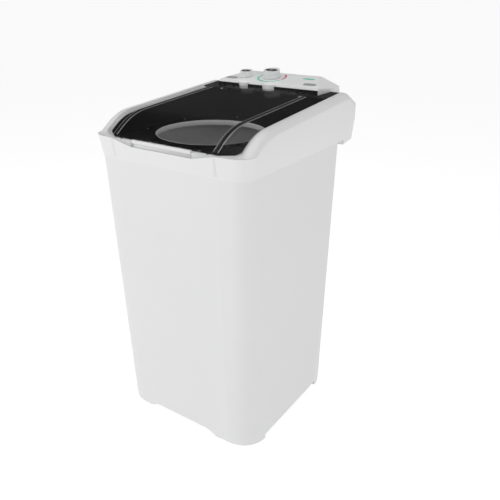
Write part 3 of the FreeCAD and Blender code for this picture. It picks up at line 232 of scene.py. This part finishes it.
@dataclass(frozen=True)
class Moulded:
    """Moulded plastic: a drifting base colour, the moulding tool's grain and faint flow waves."""

    name: str
    slot: str
    colour: Colour
    roughness: float = 0.34
    grain: Grain = Grain.FINE
    depth: float = 0.08
    drift: float = 0.965
    wear: float = 0.03
    level: float = 0.45

    def make(self) -> bpy.types.Material:
        """Build the material."""
        recipe = Recipe(self.name)
        cloud = recipe.noise(3.2, 3)
        recipe.link(recipe.blend(cloud, self.colour, shaded(self.colour, self.drift)), "Base Color")
        rub = recipe.noise(38.0, 4)
        low, high = self.roughness - self.wear, self.roughness + self.wear
        recipe.link(recipe.ranged(rub, low, high), "Roughness")
        recipe.bump(recipe.noise(self.grain.value, 1), self.depth, 0.06 * MM)
        recipe.bump(recipe.noise(7.0, 0, (1, 1, 0.35)), 0.04, 0.8 * MM)
        recipe.set(IOR=1.49, Specular_IOR_Level=self.level)
        return recipe.material


@dataclass(frozen=True)
class Smoked:
    """Clear plastic with a dark tint, polished, with hairline wiping marks."""

    name: str
    slot: str
    colour: Colour
    density: float

    def make(self) -> bpy.types.Material:
        """Build the material."""
        recipe = Recipe(self.name)
        haze = recipe.noise(6.0, 3)
        recipe.link(recipe.blend(haze, self.colour, shaded(self.colour, 1.35)), "Base Color")
        wiped = recipe.noise(420.0, 3, (1, 0.04, 1))
        recipe.link(recipe.ranged(wiped, 0.045, 0.1), "Roughness")
        recipe.bump(recipe.noise(5.0, 1), 0.03, 1.0 * MM)
        recipe.set(Alpha=self.density, IOR=1.49)
        return recipe.material


@dataclass(frozen=True)
class Rubber:
    """Dark rubber: matt, dusty and slightly open in the grain."""

    name: str
    slot: str
    colour: Colour = (0.035, 0.035, 0.036)
    ribs: float = 0.0

    def make(self) -> bpy.types.Material:
        """Build the material, with fine ribs round it where it has any."""
        recipe = Recipe(self.name)
        dust = recipe.noise(55.0, 5)
        share = recipe.ranged(dust, 0, 1, 0.45, 0.8)
        recipe.link(recipe.blend(share, self.colour, shaded(self.colour, 2.6)), "Base Color")
        recipe.link(recipe.ranged(dust, 0.62, 0.85), "Roughness")
        recipe.bump(recipe.noise(1500.0, 3), 0.25, 0.12 * MM)
        if self.ribs:
            wave = recipe.tree.nodes.new("ShaderNodeTexWave")
            wave.bands_direction = "Z"
            wave.inputs["Scale"].default_value = self.ribs
            recipe.tree.links.new(recipe.place, wave.inputs["Vector"])
            recipe.bump(wave.outputs["Fac"], 0.6, 0.4 * MM)
        return recipe.material


@dataclass(frozen=True)
class Metal:
    """Bare metal: drawn or turned lines one way, cast pits the other, and a dull film in patches."""

    name: str
    slot: str
    colour: Colour
    roughness: float = 0.3
    lines: Point = (1, 1, 14)
    pits: float = 0.0

    def make(self) -> bpy.types.Material:
        """Build the material."""
        recipe = Recipe(self.name)
        film = recipe.noise(24.0, 4)
        recipe.link(recipe.blend(film, self.colour, shaded(self.colour, 0.78)), "Base Color")
        recipe.link(recipe.ranged(film, self.roughness - 0.07, self.roughness + 0.13), "Roughness")
        recipe.bump(recipe.noise(180.0, 3, self.lines), 0.14, 0.05 * MM)
        if self.pits:
            recipe.bump(recipe.noise(self.pits, 5), 0.4, 0.3 * MM)
        recipe.set(Metallic=1.0)
        return recipe.material


@dataclass(frozen=True)
class Enamel:
    """Sprayed paint: orange peel under a clear gloss, thin and lighter in rubbed patches."""

    name: str
    slot: str
    colour: Colour

    def make(self) -> bpy.types.Material:
        """Build the material."""
        recipe = Recipe(self.name)
        patch = recipe.noise(30.0, 5)
        share = recipe.ranged(patch, 0, 1, 0.62, 0.8)
        recipe.link(recipe.blend(share, self.colour, shaded(self.colour, 1.9)), "Base Color")
        recipe.link(recipe.ranged(patch, 0.25, 0.42), "Roughness")
        recipe.bump(recipe.noise(520.0, 2), 0.12, 0.12 * MM)
        recipe.set(Coat_Weight=0.4, Coat_Roughness=0.12)
        return recipe.material


@dataclass(frozen=True)
class PrintedDial:
    """The timer's scale: a long green arc, a short red one and fine ticks, printed on white."""

    name: str
    slot: str
    centre: Point
    band: tuple[float, float] = (0.0435, 0.0500)
    ground: Colour = (0.83, 0.83, 0.835)
    green: Colour = (0.10, 0.60, 0.42)
    red: Colour = (0.62, 0.09, 0.17)
    ink: Colour = (0.10, 0.11, 0.11)
    ticks: int = 36
    tick_share: float = 0.12
    tick_reach: tuple[float, float] = (3.4 * MM, 1.2 * MM)
    red_arc: tuple[float, float] = (72, 140)
    green_arc: tuple[float, float] = (-128, 66)

    def make(self) -> bpy.types.Material:
        """Build the material in the dial's own tilted plane."""
        recipe = Recipe(self.name)
        split = recipe.tree.nodes.new("ShaderNodeSeparateXYZ")
        recipe.tree.links.new(recipe.mapped(centre=self.centre, turn=(TILT, 0, 0)), split.inputs[0])
        across, along = split.outputs["X"], split.outputs["Y"]
        reach = recipe.math("SQRT", recipe.math("ADD", recipe.math("POWER", across, 2.0),
                                                recipe.math("POWER", along, 2.0)))
        turn = recipe.math("ARCTAN2", across, recipe.math("MULTIPLY", along, -1.0))
        red = self.between(recipe, turn, *(math.radians(end) for end in self.red_arc))
        green = self.between(recipe, turn, *(math.radians(end) for end in self.green_arc))
        low, high = self.band
        ring = self.between(recipe, reach, low, high)
        step = recipe.math("FRACT", recipe.math("MULTIPLY", turn, self.ticks / math.tau))
        inner, outer = self.tick_reach
        tick = recipe.math("MULTIPLY", recipe.math("LESS_THAN", step, self.tick_share),
                           self.between(recipe, reach, low - inner, low - outer))
        colour = recipe.blend(recipe.math("MULTIPLY", ring, green), self.ground, self.green)
        colour = recipe.blend(recipe.math("MULTIPLY", ring, red), colour, self.red)
        colour = recipe.blend(tick, colour, self.ink)
        recipe.link(colour, "Base Color")
        recipe.link(recipe.ranged(recipe.noise(60.0, 3), 0.34, 0.46), "Roughness")
        recipe.bump(ring, 0.3, 0.03 * MM)
        return recipe.material

    @staticmethod
    def between(recipe: Recipe, value: object, low: float, high: float) -> object:
        """The socket that is 1 where a value lies between two numbers and 0 elsewhere."""
        return recipe.math("MULTIPLY", recipe.math("GREATER_THAN", value, low),
                           recipe.math("LESS_THAN", value, high))


WHITE = (0.80, 0.80, 0.805)
FINISHES = (
    Moulded("cabinet_white", "cabinet_shell", (0.79, 0.79, 0.795), 0.36),
    Moulded("frame_white", "frame_shell", WHITE, 0.32),
    Moulded("console_white", "console_shell", (0.88, 0.88, 0.885), 0.34),
    Moulded("handle_white", "handle_white", (0.76, 0.76, 0.77), 0.28),
    Moulded("groove_shadow", "frame_shell", (0.46, 0.46, 0.47), 0.5),
    Smoked("smoked_clear", "smoked_lid", (0.004, 0.004, 0.004), 0.11),
    # black trim; also the painted shade strips along the lid's creases
    Moulded("riser_black", "black_trim", (0.006, 0.006, 0.006), 0.55, Grain.POLISHED, level=0.2),
    Moulded("deck_black", "deck_black", (0.004, 0.004, 0.004), 0.62, Grain.COARSE, 0.15, level=0.12),
    Moulded("tub_grey", "tub_grey", (0.9, 0.9, 0.91), 0.4),
    Moulded("knob_white", "knob_white", (0.82, 0.83, 0.83), 0.3, Grain.POLISHED),
    # the knobs' dark ovals: the pointer, and painted shade in their recessed tops
    Moulded("pointer_black", "pointer_black", (0.016, 0.016, 0.017), 0.32, Grain.POLISHED),
    Moulded("pointer_line", "knob_white", (0.78, 0.78, 0.78), 0.45, Grain.POLISHED),
    # painted highlight: the grey of the thin glint strips along the lid's creases
    Moulded("glint_grey", "smoked_lid", (0.45, 0.45, 0.46), 0.25, Grain.POLISHED),
    Moulded("mark_green", "dial_print", (0.10, 0.60, 0.42), 0.45, Grain.POLISHED),
    Moulded("badge_grey", "badge_grey", (0.36, 0.365, 0.38), 0.38, Grain.COARSE, 0.2),
    Moulded("agitator_blue_white", "agitator_plastic", (0.62, 0.66, 0.72), 0.33),
    Moulded("switch_dark", "switch_plastic", (0.05, 0.05, 0.055), 0.5, Grain.COARSE, 0.2),
    Moulded("pipe_grey", "pipe_grey", (0.20, 0.20, 0.21), 0.45),
    Rubber("rubber_foot", "rubber_dark"),
    Rubber("belt_rubber", "rubber_dark", (0.02, 0.02, 0.021), 900.0),
    Metal("turned_steel", "steel", (0.56, 0.56, 0.57), 0.28),
    Metal("zinc_screw", "screw_zinc", (0.60, 0.60, 0.58), 0.32, (1, 1, 1)),
    Metal("cast_alloy", "alu", (0.66, 0.66, 0.67), 0.45, (1, 1, 1), 260.0),
    Enamel("motor_enamel", "motor_paint", (0.035, 0.04, 0.045)),
)


class Paints:
    """The finishes by name, each made once."""

    def __init__(self) -> None:
        """Make every finish."""
        self.made = {finish.name: (finish.make(), finish.slot) for finish in FINISHES}

    def add(self, finish: PrintedDial) -> None:
        """Make one more finish."""
        self.made[finish.name] = (finish.make(), finish.slot)

    def put(self, piece: bpy.types.Object, name: str) -> None:
        """Cover a piece with one finish."""
        material, slot = self.made[name]
        piece.data.materials.clear()
        piece.data.materials.append(material)


PAINTS = Paints()


# ------------------------------------------------------------------ the bench


class Bench:
    """The modelling bench. A piece is put on it, worked with the mesh tools and sent to its body."""

    @staticmethod
    def clear() -> None:
        """Leave nothing selected."""
        bpy.ops.object.select_all(action="DESELECT")

    @staticmethod
    def take(piece: bpy.types.Object) -> None:
        """Make one piece the only one selected."""
        Bench.clear()
        bpy.context.view_layer.objects.active = piece
        piece.select_set(True)

    @staticmethod
    def start(name: str) -> bpy.types.Object:
        """Name the primitive just added and leave it selected on its own."""
        piece = bpy.context.active_object
        piece.name = name
        piece.data.name = name
        Bench.take(piece)
        return piece

    @staticmethod
    def cone(name: str, base: Point, radii: tuple[float, float], height: float,
             turn: Point = (0, 0, 0), sides: int = 96) -> bpy.types.Object:
        """Add a cylinder or cone.

        Args:
            name: the piece's name.
            base: the middle of its lower end.
            radii: its radius at the lower and the upper end.
            height: its length along its own axis.
            turn: its turn about X, Y and Z.
            sides: how many flat sides it has.

        Returns:
            The new piece, not yet at the origin.
        """
        Bench.clear()
        bpy.ops.mesh.primitive_cone_add(vertices=sides, radius1=radii[0], radius2=radii[1], depth=height)
        piece = Bench.start(name)
        for vertex in piece.data.vertices:
            vertex.co.z += height / 2
        piece.location = base
        piece.rotation_euler = turn
        return piece

    @staticmethod
    def block(name: str, low: Vector, high: Vector) -> bpy.types.Object:
        """Add a box between two corners."""
        Bench.clear()
        bpy.ops.mesh.primitive_cube_add(size=1, location=(low + high) / 2, scale=high - low)
        piece = Bench.start(name)
        bpy.ops.object.transform_apply(location=True, rotation=True, scale=True)
        return piece

    @staticmethod
    def pick(piece: bpy.types.Object, test: FaceTest) -> None:
        """Open a piece for editing with the faces that pass a test selected.

        Args:
            piece: the piece.
            test: says yes to a face from its middle and its normal.
        """
        Bench.take(piece)
        bpy.ops.object.mode_set(mode="EDIT")
        bpy.ops.mesh.select_mode(type="FACE")
        bpy.ops.mesh.select_all(action="DESELECT")
        bpy.ops.object.mode_set(mode="OBJECT")
        for face in piece.data.polygons:
            face.select = test(face.center, face.normal)
        bpy.ops.object.mode_set(mode="EDIT")

    @staticmethod
    def close() -> None:
        """Leave the editing of a piece."""
        bpy.ops.object.mode_set(mode="OBJECT")

    @staticmethod
    def round_edges(piece: bpy.types.Object, width: float, segments: int = 3, angle: float = 40.0) -> None:
        """Round every edge sharper than an angle in degrees, with a modifier that is then applied."""
        Bench.take(piece)
        tool = piece.modifiers.new("rounding", "BEVEL")
        tool.width = width
        tool.segments = segments
        tool.limit_method = "ANGLE"
        tool.angle_limit = math.radians(angle)
        bpy.ops.object.modifier_apply(modifier=tool.name)

    @staticmethod
    def send(piece: bpy.types.Object, body: str, paint: str, *nodes: str, angle: float = 35.0) -> None:
        """Finish a piece and let it ride.

        Args:
            piece: the piece.
            body: the body that it moves with.
            paint: the name of its finish.
            nodes: the CAD nodes that it stands for.
            angle: edges sharper than this, in degrees, stay crisp.
        """
        Bench.take(piece)
        bpy.ops.object.transform_apply(location=True, rotation=True, scale=True)
        bpy.ops.object.shade_smooth_by_angle(angle=math.radians(angle))
        PAINTS.put(piece, paint)
        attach(piece, body)
        if nodes:
            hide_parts(*nodes)
        log.info("%s: %d faces, rides on %s", piece.name, len(piece.data.polygons), body)

    @staticmethod
    def surface(node: str, body: str, paint: str,
                rounding: float = 0.0, angle: float = 28.0) -> bpy.types.Object:
        """Make the skin of a CAD node: its mesh merged, its edges rounded and its shading smoothed.

        Args:
            node: the CAD node.
            body: the body that it moves with.
            paint: the name of its finish.
            rounding: the radius of its edges, in metres, or 0 to leave them.
            angle: edges sharper than this, in degrees, stay crisp.

        Returns:
            The finished piece.
        """
        piece = bpy.data.objects.new(f"{node}_skin", frame["nodes"][node].data.copy())
        bpy.context.scene.collection.objects.link(piece)
        Bench.pick(piece, lambda middle, normal: True)
        bpy.ops.mesh.remove_doubles(threshold=MERGE_GAP)
        if rounding:
            bpy.ops.mesh.dissolve_limited(angle_limit=FLAT_ANGLE)
        Bench.close()
        if rounding:
            Bench.round_edges(piece, rounding)
        Bench.send(piece, body, paint, node, angle=angle)
        Bench.take(piece)
        tool = piece.modifiers.new("shading", "WEIGHTED_NORMAL")
        tool.keep_sharp = True
        tool.weight = NORMAL_WEIGHT
        bpy.ops.object.modifier_apply(modifier=tool.name)
        return piece

    @staticmethod
    def line(name: str, points: list[Point], thickness: float, target: bpy.types.Object,
             direction: Direction, proud: float) -> bpy.types.Object:
        """Lay a thin raised line on a surface.

        Args:
            name: the piece's name.
            points: the points that it passes through, off the surface.
            thickness: the diameter of the round bar, most of which is sunk in the surface.
            target: the piece that it lies on.
            direction: the way the points are pressed on to the surface.
            proud: how far it stands out of the surface.

        Returns:
            The line as a mesh.
        """
        aim = Vector(direction.value)
        landed = []
        for point in points:
            found, spot, normal, _ = target.ray_cast(Vector(point) - aim * RAY_START, aim)
            if found:
                landed.append(spot - normal * (thickness / 2 - proud))
        Bench.clear()
        bpy.ops.curve.primitive_nurbs_path_add()
        path = bpy.context.active_object
        path.name = name
        path.data.splines.clear()
        spline = path.data.splines.new("POLY")
        spline.points.add(len(landed) - 1)
        for point, spot in zip(spline.points, landed):
            point.co = (*spot, 1)
        path.data.bevel_depth = thickness / 2
        path.data.bevel_resolution = 2
        path.data.use_fill_caps = True
        Bench.take(path)
        bpy.ops.object.convert(target="MESH")
        piece = bpy.context.active_object
        piece.data.name = name
        return piece


def paint_nodes(paint: str, *nodes: str) -> None:
    """Give CAD nodes that keep their own shape a finish."""
    for node in nodes:
        PAINTS.put(frame["nodes"][node], paint)
        log.info("%s: %s", node, paint)


# ------------------------------------------------------------------ sub-assemblies


@dataclass
class Shell:
    """The white outside: cabinet, top moulding, service cover and the raised lines on them."""

    body: str = "machine"
    groove_pairs: tuple[float, ...] = (0.1765, 0.1815)
    groove_low: float = 0.897
    groove_high: float = 0.946
    groove_width: float = 0.9 * MM
    groove_proud: float = 0.25 * MM
    groove_steps: int = 6
    before_front: float = -0.35
    beside_right: float = 0.30
    grip: tuple[tuple[float, float], ...] = ((-0.112, 0.953), (-0.092, 0.957), (-0.070, 0.961),
                                              (-0.055, 0.956), (-0.041, 0.950))
    grip_width: float = 6.0 * MM
    grip_proud: float = 0.015 * MM

    def build(self) -> None:
        """Build every piece of the shell."""
        Bench.surface("cabinet", self.body, "cabinet_white")
        self.top = Bench.surface("top_frame", self.body, "frame_white")
        Bench.surface("rear_cover", self.body, "cabinet_white", 0.8 * MM)
        self.grooves()
        self.grip_marks()
        self.cover_screws()

    def grooves(self) -> None:
        """Raise the pair of upright lines at each end of the top moulding's front."""
        rise = self.groove_high - self.groove_low
        steps = self.groove_steps
        heights = [self.groove_low + rise * step / steps for step in range(steps + 1)]
        for side, word in ((-1, "left"), (1, "right")):
            for number, across in enumerate(self.groove_pairs):
                points = [(side * across, self.before_front, height) for height in heights]
                piece = Bench.line(f"front_line_{word}_{number}", points, self.groove_width, self.top,
                                   Direction.FROM_FRONT, self.groove_proud)
                Bench.send(piece, self.body, "groove_shadow")

    def grip_marks(self) -> None:
        """Emboss the bent mark over the hand grip on the right side."""
        points = [(self.beside_right, y, z) for y, z in self.grip]
        piece = Bench.line("grip_mark", points, self.grip_width, self.top, Direction.FROM_RIGHT,
                           self.grip_proud)
        Bench.send(piece, self.body, "groove_shadow")

    def cover_screws(self) -> None:
        """Dress the screws of the service cover."""
        paint_nodes("zinc_screw", "cover_screws")


@dataclass
class Feet:
    """What the machine stands on."""

    body: str = "machine"

    def build(self) -> None:
        """Dress the pads and the levelling foot."""
        paint_nodes("rubber_foot", "foot_pads", "levelling_foot")


@dataclass
class Wash:
    """The tub, its deck and the agitator."""

    body: str = "machine"
    drive: str = "agitator_drive"
    mouth_y: float = -0.105
    mouth_radius: float = 0.1628
    collar_top: float = 0.9494
    liner_low: float = 0.934
    liner_wall: float = 1.2 * MM
    liner_edge: float = 0.25 * MM

    def build(self) -> None:
        """Build the tub, the deck and the agitator."""
        Bench.surface("tub", self.body, "tub_grey")
        Bench.surface("tub_deck", self.body, "deck_black", angle=40)
        self.liner()
        Bench.surface("agitator", self.drive, "agitator_blue_white")
        Bench.surface("agitator_cap", self.drive, "agitator_blue_white")
        paint_nodes("rubber_foot", "tub_gasket", "shaft_seal")
        paint_nodes("zinc_screw", "tub_screws")

    def liner(self) -> None:
        """Line the mouth with a pale sleeve whose upper edge is rolled over the collar."""
        centre = (0.0, self.mouth_y, self.liner_low)
        height = self.collar_top - self.liner_low
        piece = Bench.cone("mouth_liner", centre, (self.mouth_radius, self.mouth_radius), height)
        Bench.pick(piece, lambda middle, normal: abs(normal.z) > 0.9)
        bpy.ops.mesh.delete(type="FACE")
        Bench.close()
        tool = piece.modifiers.new("wall", "SOLIDIFY")
        tool.thickness = self.liner_wall
        tool.offset = -1
        bpy.ops.object.modifier_apply(modifier=tool.name)
        Bench.round_edges(piece, self.liner_edge, 2, 60)
        Bench.send(piece, self.body, "tub_grey")


@dataclass
class Lid:
    """The smoked lid with its handle, hinge and bumpers."""

    body: str = "lid"
    handle_round: float = 1.4 * MM
    scoop: float = 1.6 * MM
    crease: float = 0.182
    # the width of the black strip that paints the shade along each crease
    shade_band_width: float = 0.011
    band_start: float = -0.3185
    band_end: float = 0.128
    band_steps: int = 96
    glint_width: float = 0.0016
    glint_gap: float = 0.0015
    glint_inset: float = 0.002
    strip_thick: float = 1.2 * MM
    above_hood: float = 1.3
    skin: float = 3.0 * MM
    hollow: float = 0.4 * MM

    def build(self) -> None:
        """Build the lid's pieces."""
        self.hood = Bench.surface("lid", self.body, "smoked_clear", angle=24)
        for side, word in ((-1, "left"), (1, "right")):
            inner = side * (self.crease - self.shade_band_width - self.glint_inset)
            outer = side * (self.crease + self.glint_gap)
            glint = side * self.glint_width
            # painted shade: a black strip under the smoked skin stands in for the dark shade seen along
            # the lid's crease
            self.strip(f"crease_band_{word}", side * (self.crease - self.shade_band_width), side * self.crease,
                       "riser_black")
            # painted highlights: thin grey strips stand in for the light caught by the rounded crease
            self.strip(f"crease_glint_out_{word}", outer, outer + glint, "glint_grey")
            self.strip(f"crease_glint_in_{word}", inner, inner + glint, "glint_grey")
        self.handle()
        Bench.surface("hinge_panel", "machine", "riser_black", 0.6 * MM)
        paint_nodes("turned_steel", "hinge_pins")
        paint_nodes("rubber_foot", "lid_bumpers")

    def strip(self, name: str, start: float, end: float, paint: str) -> None:
        """Lay a thin strip under the hood's skin, following its side view.

        Args:
            name: the strip's name.
            start: one edge, along X.
            end: the other edge, along X.
            paint: the name of its finish.
        """
        middle = (start + end) / 2
        long = self.band_end - self.band_start
        Bench.clear()
        bpy.ops.mesh.primitive_grid_add(x_subdivisions=2, y_subdivisions=self.band_steps, size=1,
                                        location=(middle, self.band_start + long / 2, 0))
        piece = Bench.start(name)
        piece.scale = (abs(end - start), long, 1)
        bpy.ops.object.transform_apply(location=True, rotation=True, scale=True)
        for vertex in piece.data.vertices:
            start = (vertex.co.x, vertex.co.y, self.above_hood)
            found, spot, _, _ = self.hood.ray_cast(start, (0, 0, -1))
            if found:
                vertex.co.z = spot.z - self.skin - self.hollow
        tool = piece.modifiers.new("wall", "SOLIDIFY")
        tool.thickness = self.strip_thick
        tool.offset = -1
        bpy.ops.object.modifier_apply(modifier=tool.name)
        Bench.send(piece, self.body, paint)

    def handle(self) -> None:
        """Shape the pull: a rounded bar hollowed underneath for the fingers."""
        low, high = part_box("lid_handle")
        piece = Bench.block("lid_pull", low, high)
        Bench.pick(piece, lambda middle, normal: normal.z < -0.9)
        bpy.ops.mesh.inset(thickness=self.scoop)
        bpy.ops.transform.translate(value=(0, 0, 3 * self.scoop))
        Bench.close()
        Bench.round_edges(piece, self.handle_round, 4)
        Bench.send(piece, self.body, "handle_white", "lid_handle")


@dataclass
class Knob:
    """A round knob with a dark oval on top, tilted with the console; the oval is the pointer and also
    painted shade in the top's recess.
    """

    name: str
    body: str
    seat: Point
    radius: float
    height: float
    taper: float = 0.93
    lift: float = 1.0 * MM
    rim: float = 1.6 * MM
    recess: float = 1.4 * MM
    recess_slope: float = 0.6 * MM
    edge: float = 0.7 * MM
    inlay_high: float = 1.3 * MM
    inlay_edge: float = 0.35 * MM
    index_high: float = 0.5 * MM
    turn: Point = (TILT, 0, 0)

    def above(self, height: float) -> Point:
        """The point on the knob's axis this far above its seat."""
        up = Vector((0, -math.sin(TILT), math.cos(TILT)))
        return tuple(Vector(self.seat) + up * height)

    def build(self) -> None:
        """Build the knob, its dark oval (the pointer and painted shade in the recess) and the pointer
        line.
        """
        top = self.radius * self.taper
        piece = Bench.cone(f"{self.name}_grip", self.above(self.lift), (self.radius, top),
                           self.height - self.lift, self.turn)
        Bench.pick(piece, lambda middle, normal: normal.z > 0.9)
        bpy.ops.mesh.inset(thickness=self.rim)
        bpy.ops.mesh.inset(thickness=self.recess_slope, depth=-self.recess)
        Bench.close()
        Bench.round_edges(piece, self.edge, 3, 30)
        Bench.send(piece, self.body, "knob_white", f"{self.name}_knob")
        self.inlay(top)

    def inlay(self, top: float) -> None:
        """Set the dark oval in the top and a light line on it; the oval is the pointer and also paints the
        shade in the recess.
        """
        base = self.above(self.height - self.recess - 0.1 * MM)
        # painted shade: the black oval fills most of the recess, standing for its shade and reflection as
        # well as the pointer
        oval = Bench.cone(f"{self.name}_inlay", base, (0.84 * top, 0.80 * top), self.inlay_high,
                          self.turn)
        oval.scale = (1, 0.52, 1)
        Bench.round_edges(oval, self.inlay_edge, 2)
        Bench.send(oval, self.body, "pointer_black", f"{self.name}_pointer")
        line = Bench.cone(f"{self.name}_index", self.above(self.height - self.recess + 0.9 * MM),
                          (0.42 * top, 0.40 * top), self.index_high, self.turn, 48)
        line.scale = (0.12, 1, 1)
        Bench.send(line, self.body, "pointer_line")


@dataclass
class Console:
    """The control panel with its dial, knobs, end plates and the switches under it."""

    body: str = "machine"
    timer: tuple[float, float] = (-0.012, 0.246)
    selector: tuple[float, float] = (-0.108, 0.236)
    front_edge: tuple[float, float] = (0.196, 1.054)
    mark_at: tuple[float, float] = (0.118, 0.262)
    mark_size: tuple[float, float] = (0.023, 0.0065)
    mark_thick: float = 0.25 * MM

    def seat(self, spot: tuple[float, float]) -> Point:
        """The point of the console's top over a place in plan."""
        start, height = self.front_edge
        return (spot[0], spot[1], height + math.tan(TILT) * (spot[1] - start))

    def build(self) -> None:
        """Build the console's pieces."""
        Bench.surface("control_panel", self.body, "console_white", 1.1 * MM)
        PAINTS.add(PrintedDial("timer_scale", "dial_print", self.seat(self.timer)))
        paint_nodes("timer_scale", "timer_dial")
        paint_nodes("badge_grey", "badge_plates")
        Knob("timer", "timer_control", self.seat(self.timer), 0.029, 0.026).build()
        Knob("selector", "selector_control", self.seat(self.selector), 0.022, 0.020).build()
        self.mark()
        paint_nodes("turned_steel", "timer_spindle", "selector_spindle")
        paint_nodes("switch_dark", "timer_switch", "selector_switch")

    def mark(self) -> None:
        """Print a plain oval on the right of the console."""
        place = self.seat(self.mark_at)
        piece = Bench.cone("console_mark", place, (1, 0.98), self.mark_thick, (TILT, 0, 0), 48)
        piece.scale = (*self.mark_size, 1)
        Bench.send(piece, self.body, "mark_green")


@dataclass
class Drive:
    """The shaft, pulleys, belt and motor under the tub."""

    def build(self) -> None:
        """Dress the drive."""
        paint_nodes("turned_steel", "drive_shaft", "lower_bearing", "upper_bearing", "motor_rotor",
                    "motor_stator", "motor_bracket", "pulley_nut")
        paint_nodes("cast_alloy", "bearing_housing", "drive_pulley", "motor_pulley", "motor_end_caps")
        paint_nodes("motor_enamel", "motor_housing")
        paint_nodes("belt_rubber", "drive_belt")
        paint_nodes("rubber_foot", "motor_mounts")
        paint_nodes("pipe_grey", "capacitor")


@dataclass
class Services:
    """The drain and the cord's gland at the back."""

    def build(self) -> None:
        """Dress the services."""
        paint_nodes("pipe_grey", "drain_pipe", "drain_clip")
        paint_nodes("rubber_foot", "cord_gland")


# ------------------------------------------------------------------ studio


@dataclass
class Studio:
    """A pale floor, soft light from wide boxes and the camera."""

    eye: Point = (1.0364, -1.4362, 1.3302)
    pitch: float = math.radians(24.43)
    heading: float = math.radians(34.06)
    lens: float = 41.33
    sensor: float = 36.0
    floor_size: float = 400.0
    floor_height: float = -0.0005
    floor_grey: float = 0.35
    floor_glow: float = 0.86
    far: float = 1000
    sky: float = 0.26
    softboxes: tuple[tuple[str, Point, Point, float, float], ...] = field(default=(
        ("overhead", (0.1, -0.1, 3.4), (0.0, 0.0, 1.0), 2.6, 34.0),
        ("front_left", (-2.6, -3.2, 1.5), (0.0, -0.2, 0.6), 2.2, 48.0),
        ("front_right", (3.4, -1.8, 1.4), (0.1, -0.1, 0.6), 2.0, 26.0),
    ))

    def build(self) -> None:
        """Build the studio."""
        self.floor()
        self.lights()
        self.camera()

    def floor(self) -> None:
        """Lay the floor."""
        Bench.clear()
        bpy.ops.mesh.primitive_plane_add(size=self.floor_size, location=(0, 0, self.floor_height))
        piece = Bench.start("studio_floor")
        bpy.ops.object.transform_apply(location=True, rotation=True, scale=True)
        recipe = Recipe("floor_white")
        grey = self.floor_grey
        recipe.set(Base_Color=(grey, grey, grey, 1), Roughness=0.9, Specular_IOR_Level=0.0,
                   Emission_Color=(1, 1, 1, 1), Emission_Strength=self.floor_glow)
        piece.data.materials.append(recipe.material)

    def lights(self) -> None:
        """Set the sky and the light boxes."""
        world = bpy.data.worlds.new("studio_sky")
        world.use_nodes = True
        shade = world.node_tree.nodes["Background"]
        shade.inputs["Color"].default_value = (1, 1, 1, 1)
        shade.inputs["Strength"].default_value = self.sky
        bpy.context.scene.world = world
        for name, place, target, size, power in self.softboxes:
            lamp = bpy.data.lights.new(name, "AREA")
            lamp.shape = "SQUARE"
            lamp.size = size
            lamp.energy = power
            holder = bpy.data.objects.new(name, lamp)
            holder.location = place
            holder.rotation_euler = (Vector(target) - Vector(place)).to_track_quat("-Z", "Y").to_euler()
            bpy.context.scene.collection.objects.link(holder)

    def camera(self) -> None:
        """Place the camera."""
        lens = bpy.data.cameras.new("camera")
        lens.lens = self.lens
        lens.sensor_width = self.sensor
        lens.clip_end = self.far
        holder = bpy.data.objects.new("camera", lens)
        holder.location = self.eye
        holder.rotation_euler = (math.pi / 2 - self.pitch, 0, self.heading)
        bpy.context.scene.collection.objects.link(holder)
        bpy.context.scene.camera = holder
        bpy.context.scene.view_settings.view_transform = "Standard"


def main() -> None:
    """Build the studio and every sub-assembly in order."""
    logging.basicConfig(level=logging.INFO, format="%(message)s")
    for part in (Studio(), Shell(), Feet(), Wash(), Lid(), Console(), Drive(), Services()):
        part.build()
        log.info("built %s", type(part).__name__)


if __name__ == "__main__":
    main()
